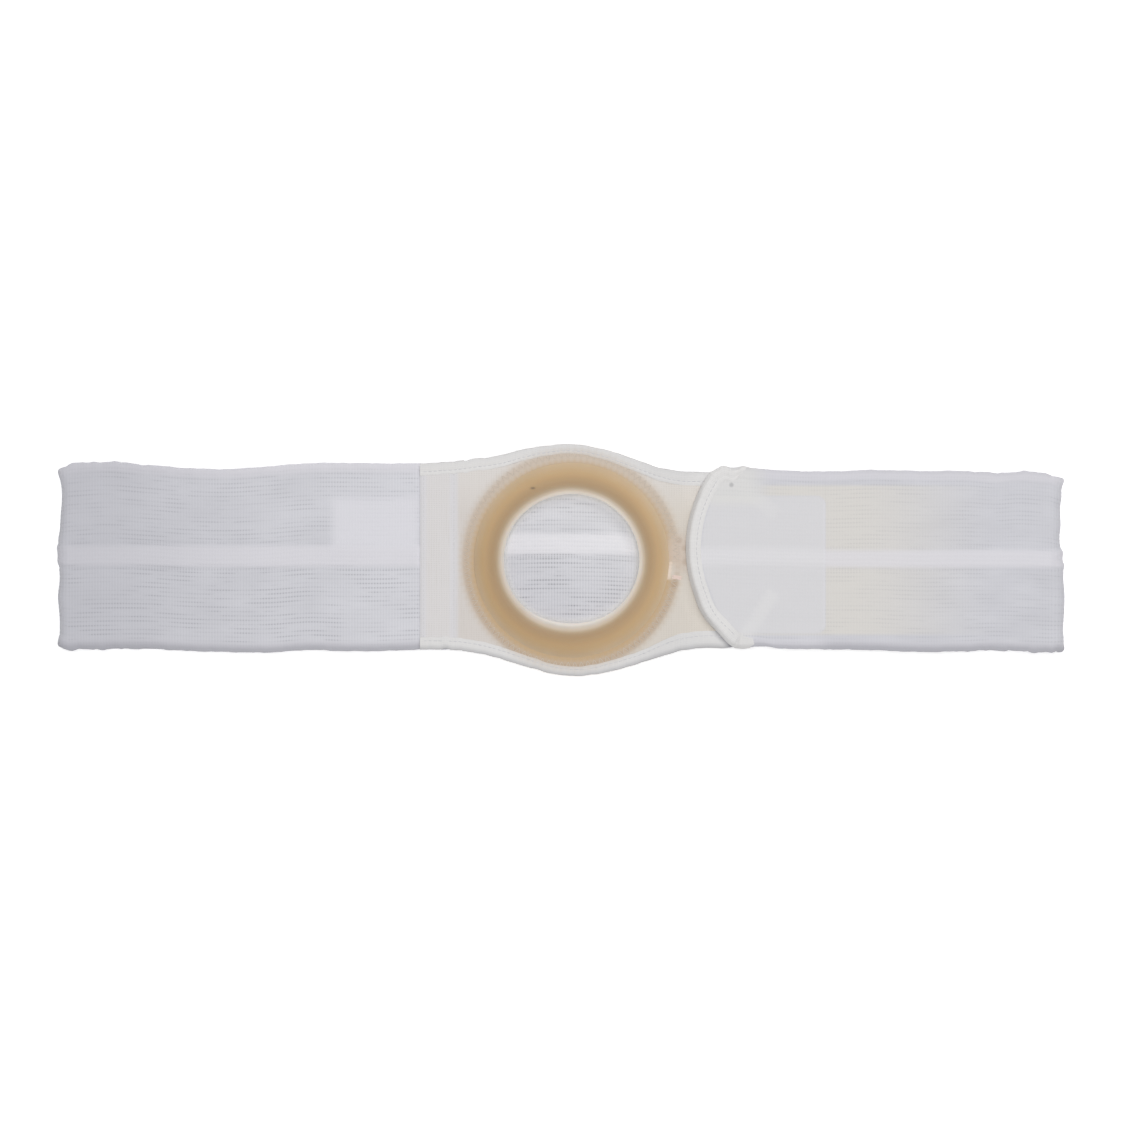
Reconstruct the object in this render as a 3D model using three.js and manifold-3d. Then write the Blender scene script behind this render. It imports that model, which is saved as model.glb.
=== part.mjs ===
// Ostomy support belt: a wide knitted elastic band, closed into a loop by a hook tab on a bound
// front panel that carries a gum rubber support ring. The closed belt lies flat, front side up.
// Millimetres. X runs along the belt, Y across it and Z up from the surface that it lies on.

import * as THREE from 'three';
import { mergeVertices } from 'three/addons/utils/BufferGeometryUtils.js';
import Module from 'manifold-3d';

// Distance between pieces that touch on the real belt
const GAP = 0.3;

// Elastic band: knit, hems along both edges and a woven rib down the middle
const BAND_THICKNESS = 1.6;
const HEM_WIDTH = 6;
const HEM_ROUND = 1.6;
const HEM_CORNER = 0.5;
const HEM_CORNER_SHARE = 0.7;
const SHOULDER = 0.8;
const FACE_RELIEF = 0.5;
const FOLD_RELIEF = 1.2;
const INNER_RELIEF = 0.4;
const HALF_LENGTH = 281.7;
const FOLD_STEPS = 8;

// Heights of the undersides, from the back of the belt up to the tab
const BAND_FRONT_UNDER = 9;
const TAIL_UNDER = 9;
const RING_PANEL_UNDER = 10.2;
const STRIP_UNDER = BAND_FRONT_UNDER + BAND_THICKNESS + GAP;

// Front panel and the tape that binds its edges
const PANEL_THICKNESS = 1;
const TAPE_THICKNESS = 1;
const TAPE_GAP = 0.25;
const TAPE_UPPER_LEAF = 7;
const TAPE_LOWER_LEAF = 3;
const TAPE_ROUND = 0.35;
const PANEL_INSET = TAPE_THICKNESS + GAP;
const PANEL_ROWS = 10;
const PANEL_RINGS = 3;
const STRIP_END = -57.6;

// Support ring
const RING_X = 6.4;
const RING_HOLE_RADIUS = 37.5;
const RING_WALL_RADIUS = 55;
const PANEL_HOLE_RADIUS = 55.4;
const RING_FLANGE_RADIUS = 61;
const RING_SIDES = 64;

// D-shaped tab: its end is one arc about a centre on the tab
const TAB_RADIUS = 72;
const TAB_CENTRE = { x: 144.2, y: 6.7 };
const TAB_UNDER = 12.9;
const TAB_LEAF = 6;
const TAB_TAPE_STEPS = 22;
const TAB_TOP_Y = 52.8;
const TAB_BOTTOM_Y = -49.6;
const TAIL_TAPE_WIDTH = 7;

// Hook patch under the tab
const HOOK_THICKNESS = 1;
const HOOK_UNDER = TAIL_UNDER + PANEL_THICKNESS + GAP;
const HOOK_RIGHT = 148.4;
const HOOK_TOP = 35.8;
const HOOK_BOTTOM = -40.9;
const HOOK_CORNER = 3;
const HOOK_SETBACK = 7;
const HOOK_COLUMNS = 3;

// Height of the band on the fastened side, over the hook patch
const FASTENED_UNDER = HOOK_UNDER + HOOK_THICKNESS + GAP;

// Blank label on the inner face of the band
const LABEL = { left: -126, right: -81, top: 33.6, bottom: 8.4, thickness: 1 };

// Sections of the front of the band, from its sewn end to the left fold
const frontSections = [
  { x: -58.6, top: 54.0, bottom: -50.0, rib: 2.5, ribWidth: 10.6 },
  { x: -78.4, top: 54.2, bottom: -50.2, rib: 2.5, ribWidth: 10.6 },
  { x: -100.8, top: 54.2, bottom: -51.0, rib: 2.5, ribWidth: 10.6 },
  { x: -123.2, top: 54.5, bottom: -51.0, rib: 2.4, ribWidth: 10.6 },
  { x: -140.0, top: 54.3, bottom: -50.4, rib: 2.3, ribWidth: 10.6 },
  { x: -162.4, top: 52.6, bottom: -51.8, rib: 2.2, ribWidth: 10.6 },
  { x: -187.6, top: 51.0, bottom: -51.5, rib: 2.2, ribWidth: 10.6 },
  { x: -207.2, top: 51.5, bottom: -51.0, rib: 2.4, ribWidth: 10.6 },
  { x: -229.6, top: 53.2, bottom: -49.8, rib: 2.6, ribWidth: 10.6 },
  { x: -254.8, top: 55.2, bottom: -50.0, rib: 2.8, ribWidth: 10.6 },
];

// Sections of the back of the band, from the left fold to the right fold
const backSections = [
  { x: -255.0, top: 53.6, bottom: -49.9, rib: 3.0, ribWidth: 10.6 },
  { x: -205.0, top: 50.6, bottom: -50.0, rib: 3.0, ribWidth: 10.6 },
  { x: -160.0, top: 51.6, bottom: -49.6, rib: 4.0, ribWidth: 11.0 },
  { x: -115.0, top: 53.4, bottom: -48.4, rib: 5.5, ribWidth: 11.5 },
  { x: -75.0, top: 53.6, bottom: -47.4, rib: 6.8, ribWidth: 12.0 },
  { x: -40.0, top: 55.8, bottom: -46.5, rib: 7.7, ribWidth: 12.0 },
  { x: -10.0, top: 57.0, bottom: -46.0, rib: 8.0, ribWidth: 12.0 },
  { x: 20.0, top: 57.0, bottom: -46.0, rib: 8.0, ribWidth: 12.0 },
  { x: 40.0, top: 54.6, bottom: -46.6, rib: 7.0, ribWidth: 11.5 },
  { x: 55.0, top: 51.4, bottom: -47.4, rib: 5.5, ribWidth: 11.0 },
  { x: 70.0, top: 48.9, bottom: -48.0, rib: 4.0, ribWidth: 10.0 },
  { x: 100.0, top: 48.5, bottom: -48.0, rib: 2.0, ribWidth: 9.0 },
  { x: 150.0, top: 48.6, bottom: -48.8, rib: 1.0, ribWidth: 8.0 },
  { x: 200.0, top: 48.8, bottom: -49.8, rib: 0.5, ribWidth: 8.0 },
  { x: 255.0, top: 48.4, bottom: -50.2, rib: 0.0, ribWidth: 8.0 },
];

// Sections of the fastened front, from the right fold to the tab's end. The arc column bends a
// section from a straight line (0) to the tab's end arc (1), set back by the last column.
const fastenedSections = [
  { x: 255.4, top: 49.6, bottom: -51.0, rib: 0.0, under: FASTENED_UNDER, arc: 0, setback: 0 },
  { x: 228.5, top: 49.8, bottom: -51.0, rib: 0.0, under: FASTENED_UNDER, arc: 0, setback: 0 },
  { x: 204.0, top: 49.8, bottom: -51.5, rib: 0.2, under: FASTENED_UNDER, arc: 0, setback: 0 },
  { x: 173.6, top: 50.4, bottom: -50.4, rib: 0.6, under: FASTENED_UNDER, arc: 0, setback: 0 },
  { x: 150.0, top: 49.6, bottom: -50.0, rib: 1.2, under: FASTENED_UNDER, arc: 0, setback: 0 },
  { x: 138.0, top: 49.3, bottom: -49.8, rib: 1.6, under: 12.25, arc: 0, setback: 0 },
  { x: 126.0, top: 49.8, bottom: -49.2, rib: 2.0, under: TAB_UNDER, arc: 0, setback: 0 },
  { x: 126.0, top: 50.6, bottom: -48.9, rib: 2.4, under: TAB_UNDER, arc: 0.35, setback: 8 },
  { x: 126.0, top: 51.4, bottom: -49.2, rib: 2.7, under: TAB_UNDER, arc: 0.7, setback: 8 },
  { x: 126.0, top: 52.0, bottom: -49.5, rib: 3.0, under: TAB_UNDER, arc: 1, setback: 8 },
  { x: 126.0, top: 52.0, bottom: -49.5, rib: 3.0, under: TAB_UNDER, arc: 1, setback: 6.5 },
  { x: 126.0, top: 52.0, bottom: -49.4, rib: 3.0, under: TAB_UNDER, arc: 1, setback: 3 },
  { x: 126.0, top: 52.0, bottom: -49.3, rib: 3.0, under: TAB_UNDER, arc: 1, setback: 0 },
];
const FASTENED_RIB_WIDTH = 8;

// The last sections lie flat inside the tape, with no raised hem or rib
const FLAT_SETBACK = 7;

// Outer edges of the bound panel, swelling round the ring, and the height of its underside
const panelSections = [
  { x: -78.4, top: 54.2, bottom: -50.2, under: STRIP_UNDER },
  { x: -68.0, top: 54.9, bottom: -50.2, under: STRIP_UNDER },
  { x: STRIP_END, top: 55.6, bottom: -50.6, under: STRIP_UNDER },
  { x: -47.0, top: 57.1, bottom: -52.1, under: 10.6 },
  { x: -33.6, top: 58.8, bottom: -55.4, under: RING_PANEL_UNDER },
  { x: -20.2, top: 62.2, bottom: -59.4, under: RING_PANEL_UNDER },
  { x: -6.7, top: 64.4, bottom: -63.3, under: RING_PANEL_UNDER },
  { x: 3.4, top: 65.0, bottom: -64.7, under: RING_PANEL_UNDER },
  { x: 13.4, top: 64.4, bottom: -65.0, under: RING_PANEL_UNDER },
  { x: 26.9, top: 61.6, bottom: -62.7, under: RING_PANEL_UNDER },
  { x: 40.3, top: 57.1, bottom: -59.4, under: RING_PANEL_UNDER },
  { x: 53.8, top: 52.6, bottom: -54.9, under: RING_PANEL_UNDER },
  { x: 68.0, top: 49.8, bottom: -51.0, under: RING_PANEL_UNDER },
  { x: 74.0, top: 49.8, bottom: -50.1, under: 9.6 },
  { x: 80.6, top: 49.8, bottom: -49.3, under: TAIL_UNDER },
  { x: 100.0, top: 49.0, bottom: -48.6, under: TAIL_UNDER },
  { x: 150.0, top: 49.0, bottom: -48.8, under: TAIL_UNDER },
  { x: 200.0, top: 49.0, bottom: -49.5, under: TAIL_UNDER },
  { x: 228.0, top: 49.0, bottom: -49.8, under: TAIL_UNDER },
];
const LAST_STRIP_SECTION = 2;
const LAST_RING_SECTION = 12;

// Half of the ring's wall: thin lip, dome with a steep inner side, then the sewn flange
const ringProfile = [
  { radius: RING_HOLE_RADIUS, z: 9.2 },
  { radius: RING_HOLE_RADIUS, z: 9.9 },
  { radius: 40.2, z: 10.2 },
  { radius: 41.8, z: 11.6 },
  { radius: 44.5, z: 12.9 },
  { radius: 48.0, z: 13.5 },
  { radius: 51.5, z: 13.3 },
  { radius: 54.0, z: 12.4 },
  { radius: RING_WALL_RADIUS, z: 11.2 },
  { radius: RING_WALL_RADIUS, z: 9.9 },
  { radius: RING_FLANGE_RADIUS, z: 9.6 },
  { radius: RING_FLANGE_RADIUS, z: 8.8 },
  { radius: RING_WALL_RADIUS, z: 8.5 },
  { radius: 42.0, z: 8.6 },
];

// Ends of the tab's tape, turned under the tab and running in from its two corners
const turnedEnds = [
  { fromX: 91.5, fromY: 49.5, toX: 121.0, toY: 25.0 },
  { fromX: 101.5, fromY: -46.0, toX: 119.5, toY: -18.0 },
];

const wasm = await Module();
wasm.setup();

// Gives a mesh that points outward, whichever way round its faces were listed.
function outward(geometry) {
  const position = geometry.getAttribute('position');
  const index = geometry.getIndex().array;
  const a = new THREE.Vector3();
  const b = new THREE.Vector3();
  const c = new THREE.Vector3();
  let volume = 0;
  for (let i = 0; i < index.length; i += 3) {
    a.fromBufferAttribute(position, index[i]);
    b.fromBufferAttribute(position, index[i + 1]);
    c.fromBufferAttribute(position, index[i + 2]);
    volume += a.dot(b.cross(c));
  }
  if (volume < 0) {
    for (let i = 0; i < index.length; i += 3) {
      const first = index[i];
      index[i] = index[i + 1];
      index[i + 1] = first;
    }
  }
  return geometry;
}

// Makes a geometry from a list of points and a list of triangles.
function fromTriangles(points, triangles) {
  const geometry = new THREE.BufferGeometry();
  geometry.setAttribute('position', new THREE.Float32BufferAttribute(points.flat(), 3));
  geometry.setIndex(triangles.flat());
  return outward(geometry);
}

// Joins a row of like loops into a closed tube. The caps are cut from the loop's flat outline.
function sweep(loops, outline) {
  const count = outline.length;
  const triangles = [];
  for (let i = 0; i + 1 < loops.length; i += 1) {
    for (let j = 0; j < count; j += 1) {
      const next = (j + 1) % count;
      const a = i * count + j;
      const b = i * count + next;
      const c = a + count;
      const d = b + count;
      triangles.push([a, b, c], [b, d, c]);
    }
  }
  const contour = outline.map(([u, v]) => new THREE.Vector2(u, v));
  const end = (loops.length - 1) * count;
  for (const face of THREE.ShapeUtils.triangulateShape(contour, [])) {
    const [a, b, c] = orderedLike(contour, face);
    triangles.push([b, a, c], [end + a, end + b, end + c]);
  }
  return fromTriangles(loops.flat(), triangles);
}

// Orders a cap's three corners the way that the outline itself runs.
function orderedLike(contour, [a, b, c]) {
  const cornerTurn = THREE.ShapeUtils.area([contour[a], contour[b], contour[c]]);
  const outlineTurn = THREE.ShapeUtils.area(contour);
  return cornerTurn * outlineTurn > 0 ? [a, b, c] : [a, c, b];
}

// Makes a sheet of even thickness on a net of four-sided cells, with a rim round every free edge.
function plate(points, cells, under, thickness) {
  const count = points.length;
  const lower = points.map(([x, y], i) => [x, y, under[i]]);
  const upper = points.map(([x, y], i) => [x, y, under[i] + thickness]);
  const triangles = [];
  const sides = [];
  for (const cell of cells) {
    const corners = cell.map((i) => new THREE.Vector2(...points[i]));
    const ring = THREE.ShapeUtils.area(corners) > 0 ? cell : [...cell].reverse();
    const [a, b, c, d] = ring;
    triangles.push([count + a, count + b, count + c], [count + a, count + c, count + d]);
    triangles.push([a, c, b], [a, d, c]);
    ring.forEach((from, k) => sides.push([from, ring[(k + 1) % ring.length]]));
  }
  const used = new Set(sides.map(([from, to]) => `${from} ${to}`));
  for (const [from, to] of sides) {
    if (!used.has(`${to} ${from}`)) {
      triangles.push([from, to, count + to], [from, count + to, count + from]);
    }
  }
  return fromTriangles([...lower, ...upper], triangles);
}

// Turns a geometry into a solid for joining and cutting, and back.
function toSolid(geometry) {
  const bare = geometry.clone();
  bare.deleteAttribute('normal');
  bare.deleteAttribute('uv');
  const merged = mergeVertices(bare);
  return new wasm.Manifold(new wasm.Mesh({
    numProp: 3,
    vertProperties: new Float32Array(merged.getAttribute('position').array),
    triVerts: new Uint32Array(merged.getIndex().array),
  }));
}

function fromSolid(solid) {
  const mesh = solid.getMesh();
  const geometry = new THREE.BufferGeometry();
  geometry.setAttribute('position', new THREE.BufferAttribute(mesh.vertProperties, 3));
  geometry.setIndex(new THREE.BufferAttribute(mesh.triVerts, 1));
  return geometry;
}

// A plain block between two corners, for cutting and for small flat pieces.
function block(low, high) {
  const size = high.map((value, k) => value - low[k]);
  const middle = high.map((value, k) => (value + low[k]) / 2);
  return new THREE.BoxGeometry(...size).translate(...middle);
}

// X of the tab's end arc at height y, set back from the tab's edge.
function tabArcX(y, setback) {
  const radius = TAB_RADIUS - setback;
  const rise = y - TAB_CENTRE.y;
  return TAB_CENTRE.x - Math.sqrt(radius * radius - rise * rise);
}

// One loop across the band as pairs of y and offset from the middle of the cloth: the outer face
// from the lower edge to the upper edge, then the inner face back again.
function bandLoop({ top, bottom, rib, ribWidth }, outerRelief, innerRelief) {
  const half = BAND_THICKNESS / 2;
  const low = rib - ribWidth / 2;
  const high = rib + ribWidth / 2;
  const face = (relief) => [
    [bottom + HEM_CORNER, half * HEM_CORNER_SHARE],
    [bottom + HEM_ROUND, half + relief],
    [bottom + HEM_WIDTH - SHOULDER, half + relief],
    [bottom + HEM_WIDTH + SHOULDER, half],
    [low - SHOULDER, half],
    [low + SHOULDER, half + relief],
    [high - SHOULDER, half + relief],
    [high + SHOULDER, half],
    [top - HEM_WIDTH - SHOULDER, half],
    [top - HEM_WIDTH + SHOULDER, half + relief],
    [top - HEM_ROUND, half + relief],
    [top - HEM_CORNER, half * HEM_CORNER_SHARE],
  ];
  const outer = face(outerRelief);
  const inner = face(innerRelief).reverse().map(([y, offset]) => [y, -offset]);
  return [[bottom, 0], ...outer, [top, 0], ...inner];
}

// Places a loop at a point of the band's middle line, with its outer face turned to an angle.
function placeLoop(loop, x, z, angle) {
  return loop.map(([y, offset]) => [
    x + offset * Math.cos(angle),
    y,
    z + offset * Math.sin(angle),
  ]);
}

// A half turn of the band about a fold, from one section to the next.
function foldLoops(from, to, x, lowZ, highZ, startAngle, startRelief, endRelief) {
  const radius = (highZ - lowZ) / 2;
  const z = (highZ + lowZ) / 2;
  const loops = [];
  for (let step = 0; step <= FOLD_STEPS; step += 1) {
    const share = step / FOLD_STEPS;
    const angle = startAngle + share * Math.PI;
    const mix = (key) => THREE.MathUtils.lerp(from[key], to[key], share);
    const section = { top: mix('top'), bottom: mix('bottom'), rib: mix('rib'), ribWidth: mix('ribWidth') };
    const flatRelief = share < 0.5 ? startRelief : endRelief;
    const turned = 1 - Math.abs(2 * share - 1);
    const relief = THREE.MathUtils.lerp(flatRelief, FOLD_RELIEF, turned);
    const middleX = x + radius * Math.cos(angle);
    const middleZ = z + radius * Math.sin(angle);
    loops.push(placeLoop(bandLoop(section, relief, 0), middleX, middleZ, angle));
  }
  return loops;
}

// Knitted band: sewn end, front, left fold, back, right fold and the fastened front with its tab.
function elasticBand() {
  const half = BAND_THICKNESS / 2;
  const up = Math.PI / 2;
  const down = 3 * Math.PI / 2;
  const frontZ = BAND_FRONT_UNDER + half;
  const fastenedZ = FASTENED_UNDER + half;
  const leftFoldX = -HALF_LENGTH + FOLD_RELIEF + half + (frontZ - half) / 2;
  const rightFoldX = HALF_LENGTH - FOLD_RELIEF - half - (fastenedZ - half) / 2;
  const fastened = fastenedSections.map((row) => ({ ...row, ribWidth: FASTENED_RIB_WIDTH }));
  const loops = [];
  frontSections.forEach((section) => {
    const relief = section.x < panelSections[0].x ? FACE_RELIEF : 0;
    loops.push(placeLoop(bandLoop(section, relief, 0), section.x, frontZ, up));
  });
  const leftFrom = frontSections.at(-1);
  loops.push(...foldLoops(leftFrom, backSections[0], leftFoldX, half, frontZ, up, FACE_RELIEF, 0));
  backSections.forEach((section) => {
    loops.push(placeLoop(bandLoop(section, 0, INNER_RELIEF), section.x, half, down));
  });
  const rightFrom = backSections.at(-1);
  loops.push(...foldLoops(rightFrom, fastened[0], rightFoldX, half, fastenedZ, down, 0, FACE_RELIEF));
  fastened.forEach((section) => {
    const relief = section.arc === 1 && section.setback < FLAT_SETBACK ? 0 : FACE_RELIEF;
    const loop = placeLoop(bandLoop(section, relief, 0), section.x, section.under + half, up);
    loops.push(loop.map(([x, y, z]) => {
      const arcX = section.arc > 0 ? tabArcX(y, section.setback + PANEL_INSET) : x;
      return [THREE.MathUtils.lerp(x, arcX, section.arc), y, z];
    }));
  });
  return sweep(loops, bandLoop(frontSections[0], 0, 0));
}

// Stretch panel: a net of cells left of the ring, round the ring's wall and along the tail.
function frontPanel() {
  const points = [];
  const under = [];
  const cells = [];
  const addPoint = (x, y, z) => {
    points.push([x, y]);
    under.push(z);
    return points.length - 1;
  };
  const column = (section) => {
    const low = section.bottom + PANEL_INSET;
    const high = section.top - PANEL_INSET;
    const indices = [];
    for (let row = 0; row <= PANEL_ROWS; row += 1) {
      indices.push(addPoint(section.x, THREE.MathUtils.lerp(low, high, row / PANEL_ROWS), section.under));
    }
    return indices;
  };
  const net = (columns) => {
    for (let i = 0; i + 1 < columns.length; i += 1) {
      for (let row = 0; row < PANEL_ROWS; row += 1) {
        cells.push([columns[i][row], columns[i + 1][row], columns[i + 1][row + 1], columns[i][row + 1]]);
      }
    }
  };
  const strip = panelSections.slice(0, LAST_STRIP_SECTION + 1).map(column);
  const tail = panelSections.slice(LAST_RING_SECTION).map(column);
  net(strip);
  net(tail);

  // The cells round the ring run from the panel's edge in to the ring's wall, and are level with
  // the ring from halfway in
  const middle = panelSections.slice(LAST_STRIP_SECTION + 1, LAST_RING_SECTION);
  const topEdge = middle.map((row) => addPoint(row.x, row.top - PANEL_INSET, row.under)).reverse();
  const bottomEdge = middle.map((row) => addPoint(row.x, row.bottom + PANEL_INSET, row.under));
  const rim = [...tail[0], ...topEdge, ...[...strip.at(-1)].reverse(), ...bottomEdge];
  const hole = rim.map((i) => {
    const angle = Math.atan2(points[i][1], points[i][0] - RING_X);
    return [RING_X + PANEL_HOLE_RADIUS * Math.cos(angle), PANEL_HOLE_RADIUS * Math.sin(angle)];
  });
  const rings = [rim];
  for (let ring = 1; ring <= PANEL_RINGS; ring += 1) {
    const share = ring / PANEL_RINGS;
    rings.push(rim.map((i, k) => addPoint(
      THREE.MathUtils.lerp(points[i][0], hole[k][0], share),
      THREE.MathUtils.lerp(points[i][1], hole[k][1], share),
      THREE.MathUtils.lerp(under[i], RING_PANEL_UNDER, Math.min(1, 2 * share)),
    )));
  }
  for (let ring = 0; ring < PANEL_RINGS; ring += 1) {
    for (let k = 0; k < rim.length; k += 1) {
      const next = (k + 1) % rim.length;
      cells.push([rings[ring][k], rings[ring][next], rings[ring + 1][next], rings[ring + 1][k]]);
    }
  }
  return plate(points, cells, under, PANEL_THICKNESS);
}

// Cross-section of a folded tape as pairs of distance in from the fold and height, closed round
// the edge of a cloth between two heights.
function tapeOutline(clothUnder, clothTop, upperLeaf, lowerLeaf) {
  const inside = TAPE_THICKNESS;
  const top = clothTop + TAPE_GAP + TAPE_THICKNESS;
  const foot = clothUnder - TAPE_GAP - TAPE_THICKNESS;
  return [
    [lowerLeaf, foot],
    [lowerLeaf, foot + TAPE_THICKNESS],
    [inside, foot + TAPE_THICKNESS],
    [inside, top - TAPE_THICKNESS],
    [upperLeaf, top - TAPE_THICKNESS],
    [upperLeaf, top],
    [inside + TAPE_ROUND, top],
    [TAPE_ROUND, top - TAPE_ROUND],
    [0, (top + foot) / 2],
    [TAPE_ROUND, foot + TAPE_ROUND],
    [inside + TAPE_ROUND, foot],
  ];
}

// Tape along one long edge of the panel. Over the strip it has no lower leaf, because the band's
// end lies there.
function panelBinding(edge) {
  const inwards = edge === 'top' ? -1 : 1;
  const outlineAt = (section) => {
    const clothTop = section.under + PANEL_THICKNESS;
    return tapeOutline(section.under, clothTop, TAPE_UPPER_LEAF, TAPE_LOWER_LEAF);
  };
  const loops = panelSections.map((section) => outlineAt(section).map(([depth, z]) => [
    section.x,
    section[edge] + inwards * depth,
    z,
  ]));
  const tape = toSolid(sweep(loops, outlineAt(panelSections[0])));
  const reach = 100;
  const bandEnd = block([-reach, -reach, 0], [STRIP_END + GAP, reach, STRIP_UNDER]);
  return fromSolid(tape.subtract(toSolid(bandEnd)));
}

// Rubber ring, turned about the middle of its hole.
function supportRing() {
  const points = [...ringProfile, ringProfile[0]].map(({ radius, z }) => new THREE.Vector2(radius, z));
  const lathe = new THREE.LatheGeometry(points, RING_SIDES);
  lathe.rotateX(Math.PI / 2);
  lathe.translate(RING_X, 0, 0);
  return outward(lathe);
}

// Tape round the tab's end, joined to its two ends that are turned under the tab.
function tabBinding() {
  const outline = tapeOutline(TAB_UNDER, TAB_UNDER + BAND_THICKNESS, TAB_LEAF, TAB_LEAF);
  const angleAt = (y) => Math.PI - Math.asin((y - TAB_CENTRE.y) / TAB_RADIUS);
  const from = angleAt(TAB_TOP_Y);
  const to = angleAt(TAB_BOTTOM_Y);
  const loops = [];
  for (let step = 0; step <= TAB_TAPE_STEPS; step += 1) {
    const angle = THREE.MathUtils.lerp(from, to, step / TAB_TAPE_STEPS);
    loops.push(outline.map(([depth, z]) => [
      TAB_CENTRE.x + (TAB_RADIUS - depth) * Math.cos(angle),
      TAB_CENTRE.y + (TAB_RADIUS - depth) * Math.sin(angle),
      z,
    ]));
  }
  const ends = turnedEnds.map((end) => {
    const length = Math.hypot(end.toX - end.fromX, end.toY - end.fromY);
    const turn = Math.atan2(end.toY - end.fromY, end.toX - end.fromX);
    const strip = new THREE.BoxGeometry(length, TAIL_TAPE_WIDTH, TAPE_THICKNESS);
    strip.rotateZ(turn);
    const z = TAB_UNDER - TAPE_GAP - TAPE_THICKNESS / 2;
    strip.translate((end.fromX + end.toX) / 2, (end.fromY + end.toY) / 2, z);
    return toSolid(strip);
  });
  const tape = toSolid(sweep(loops, outline));
  return fromSolid(ends.reduce((whole, end) => whole.add(end), tape));
}

// Hook piece under the tab, cut to the tab's arc on the left and square with round corners on
// the right.
function hookPatch() {
  const middle = (HOOK_TOP + HOOK_BOTTOM) / 2;
  const half = (HOOK_TOP - HOOK_BOTTOM) / 2;
  const shares = [-1, -0.98, -0.94, -0.75, -0.5, -0.25, 0, 0.25, 0.5, 0.75, 0.94, 0.98, 1];
  const points = [];
  const cells = [];
  shares.forEach((share, row) => {
    const y = middle + half * share;
    const overCorner = Math.max(0, half * Math.abs(share) - (half - HOOK_CORNER));
    const cut = HOOK_CORNER - Math.sqrt(HOOK_CORNER ** 2 - overCorner ** 2);
    const left = tabArcX(y, HOOK_SETBACK);
    for (let column = 0; column <= HOOK_COLUMNS; column += 1) {
      points.push([THREE.MathUtils.lerp(left, HOOK_RIGHT - cut, column / HOOK_COLUMNS), y]);
    }
    if (row > 0) {
      const start = row * (HOOK_COLUMNS + 1);
      const before = start - HOOK_COLUMNS - 1;
      for (let column = 0; column < HOOK_COLUMNS; column += 1) {
        cells.push([before + column, before + column + 1, start + column + 1, start + column]);
      }
    }
  });
  return plate(points, cells, points.map(() => HOOK_UNDER), HOOK_THICKNESS);
}

// Blank woven label, sewn to the inner face of the band.
function innerLabel() {
  const top = BAND_FRONT_UNDER - GAP;
  const low = [LABEL.left, LABEL.bottom, top - LABEL.thickness];
  return block(low, [LABEL.right, LABEL.top, top]);
}

const knit = new THREE.MeshStandardMaterial({ color: 0xd2d2d8, roughness: 0.95, metalness: 0 });
const panelCloth = new THREE.MeshStandardMaterial({ color: 0xd8d3cb, roughness: 0.95, metalness: 0 });
const tapeCloth = new THREE.MeshStandardMaterial({ color: 0xdddbd9, roughness: 0.9, metalness: 0 });
const gumRubber = new THREE.MeshStandardMaterial({ color: 0xc0a27d, roughness: 0.45, metalness: 0 });
const hookTape = new THREE.MeshStandardMaterial({ color: 0xdfdfe2, roughness: 0.85, metalness: 0 });
const labelCloth = new THREE.MeshStandardMaterial({ color: 0xe3e2e6, roughness: 0.8, metalness: 0 });

const belt = new THREE.Group();

function addPiece(name, geometry, material) {
  const piece = new THREE.Mesh(geometry, material);
  piece.name = name;
  belt.add(piece);
}

addPiece('elastic_band', elasticBand(), knit);
addPiece('front_panel', frontPanel(), panelCloth);
addPiece('support_ring', supportRing(), gumRubber);
addPiece('panel_binding_top', panelBinding('top'), tapeCloth);
addPiece('panel_binding_bottom', panelBinding('bottom'), tapeCloth);
addPiece('tab_binding', tabBinding(), tapeCloth);
addPiece('hook_patch', hookPatch(), hookTape);
addPiece('inner_label', innerLabel(), labelCloth);

export default belt;
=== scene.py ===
import bpy
import mathutils
import numpy as np
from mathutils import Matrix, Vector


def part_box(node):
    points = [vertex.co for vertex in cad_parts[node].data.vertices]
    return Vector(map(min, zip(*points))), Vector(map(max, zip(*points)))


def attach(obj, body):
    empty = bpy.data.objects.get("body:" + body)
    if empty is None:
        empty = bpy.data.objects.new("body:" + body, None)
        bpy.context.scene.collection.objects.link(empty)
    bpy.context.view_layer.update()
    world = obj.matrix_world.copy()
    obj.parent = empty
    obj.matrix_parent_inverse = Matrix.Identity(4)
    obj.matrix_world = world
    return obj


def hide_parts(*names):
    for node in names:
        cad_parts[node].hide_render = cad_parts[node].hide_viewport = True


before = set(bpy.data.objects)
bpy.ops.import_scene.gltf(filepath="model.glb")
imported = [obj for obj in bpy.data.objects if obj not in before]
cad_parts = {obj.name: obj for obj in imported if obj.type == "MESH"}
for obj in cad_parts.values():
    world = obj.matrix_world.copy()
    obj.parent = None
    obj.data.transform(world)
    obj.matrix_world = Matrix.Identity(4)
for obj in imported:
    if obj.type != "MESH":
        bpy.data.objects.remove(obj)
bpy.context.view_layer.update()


# Elastic band
# One long strip of white knitted elastic with thick hems and a woven rib down its middle. Its plain end is
# sewn under the front panel. It folds at the left, runs behind, folds at the right and ends in the tab.
MM = 0.001
BAND_HALF = 0.8
FACE_RELIEF, FASTENED_RELIEF, FOLD_RELIEF, BACK_RELIEF = 0.4, 0.28, 1.2, 0.4
HEM_WIDTH, HEM_ROUND, HEM_FLAT, HEM_GONE = 6.0, 2.0, 1.8, 7.6
RIB_INSIDE, RIB_OUTSIDE, RIB_BLUR = 2.4, 1.4, 1.6
COURSES, COURSE_PITCH, COURSE_DEPTH, WALE_PITCH = 38, 2.4, 0.15, 1.6
GUTTER_OUT, GUTTER_HALF, GUTTER_DEPTH = 1.3, 0.8, 0.12
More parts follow.
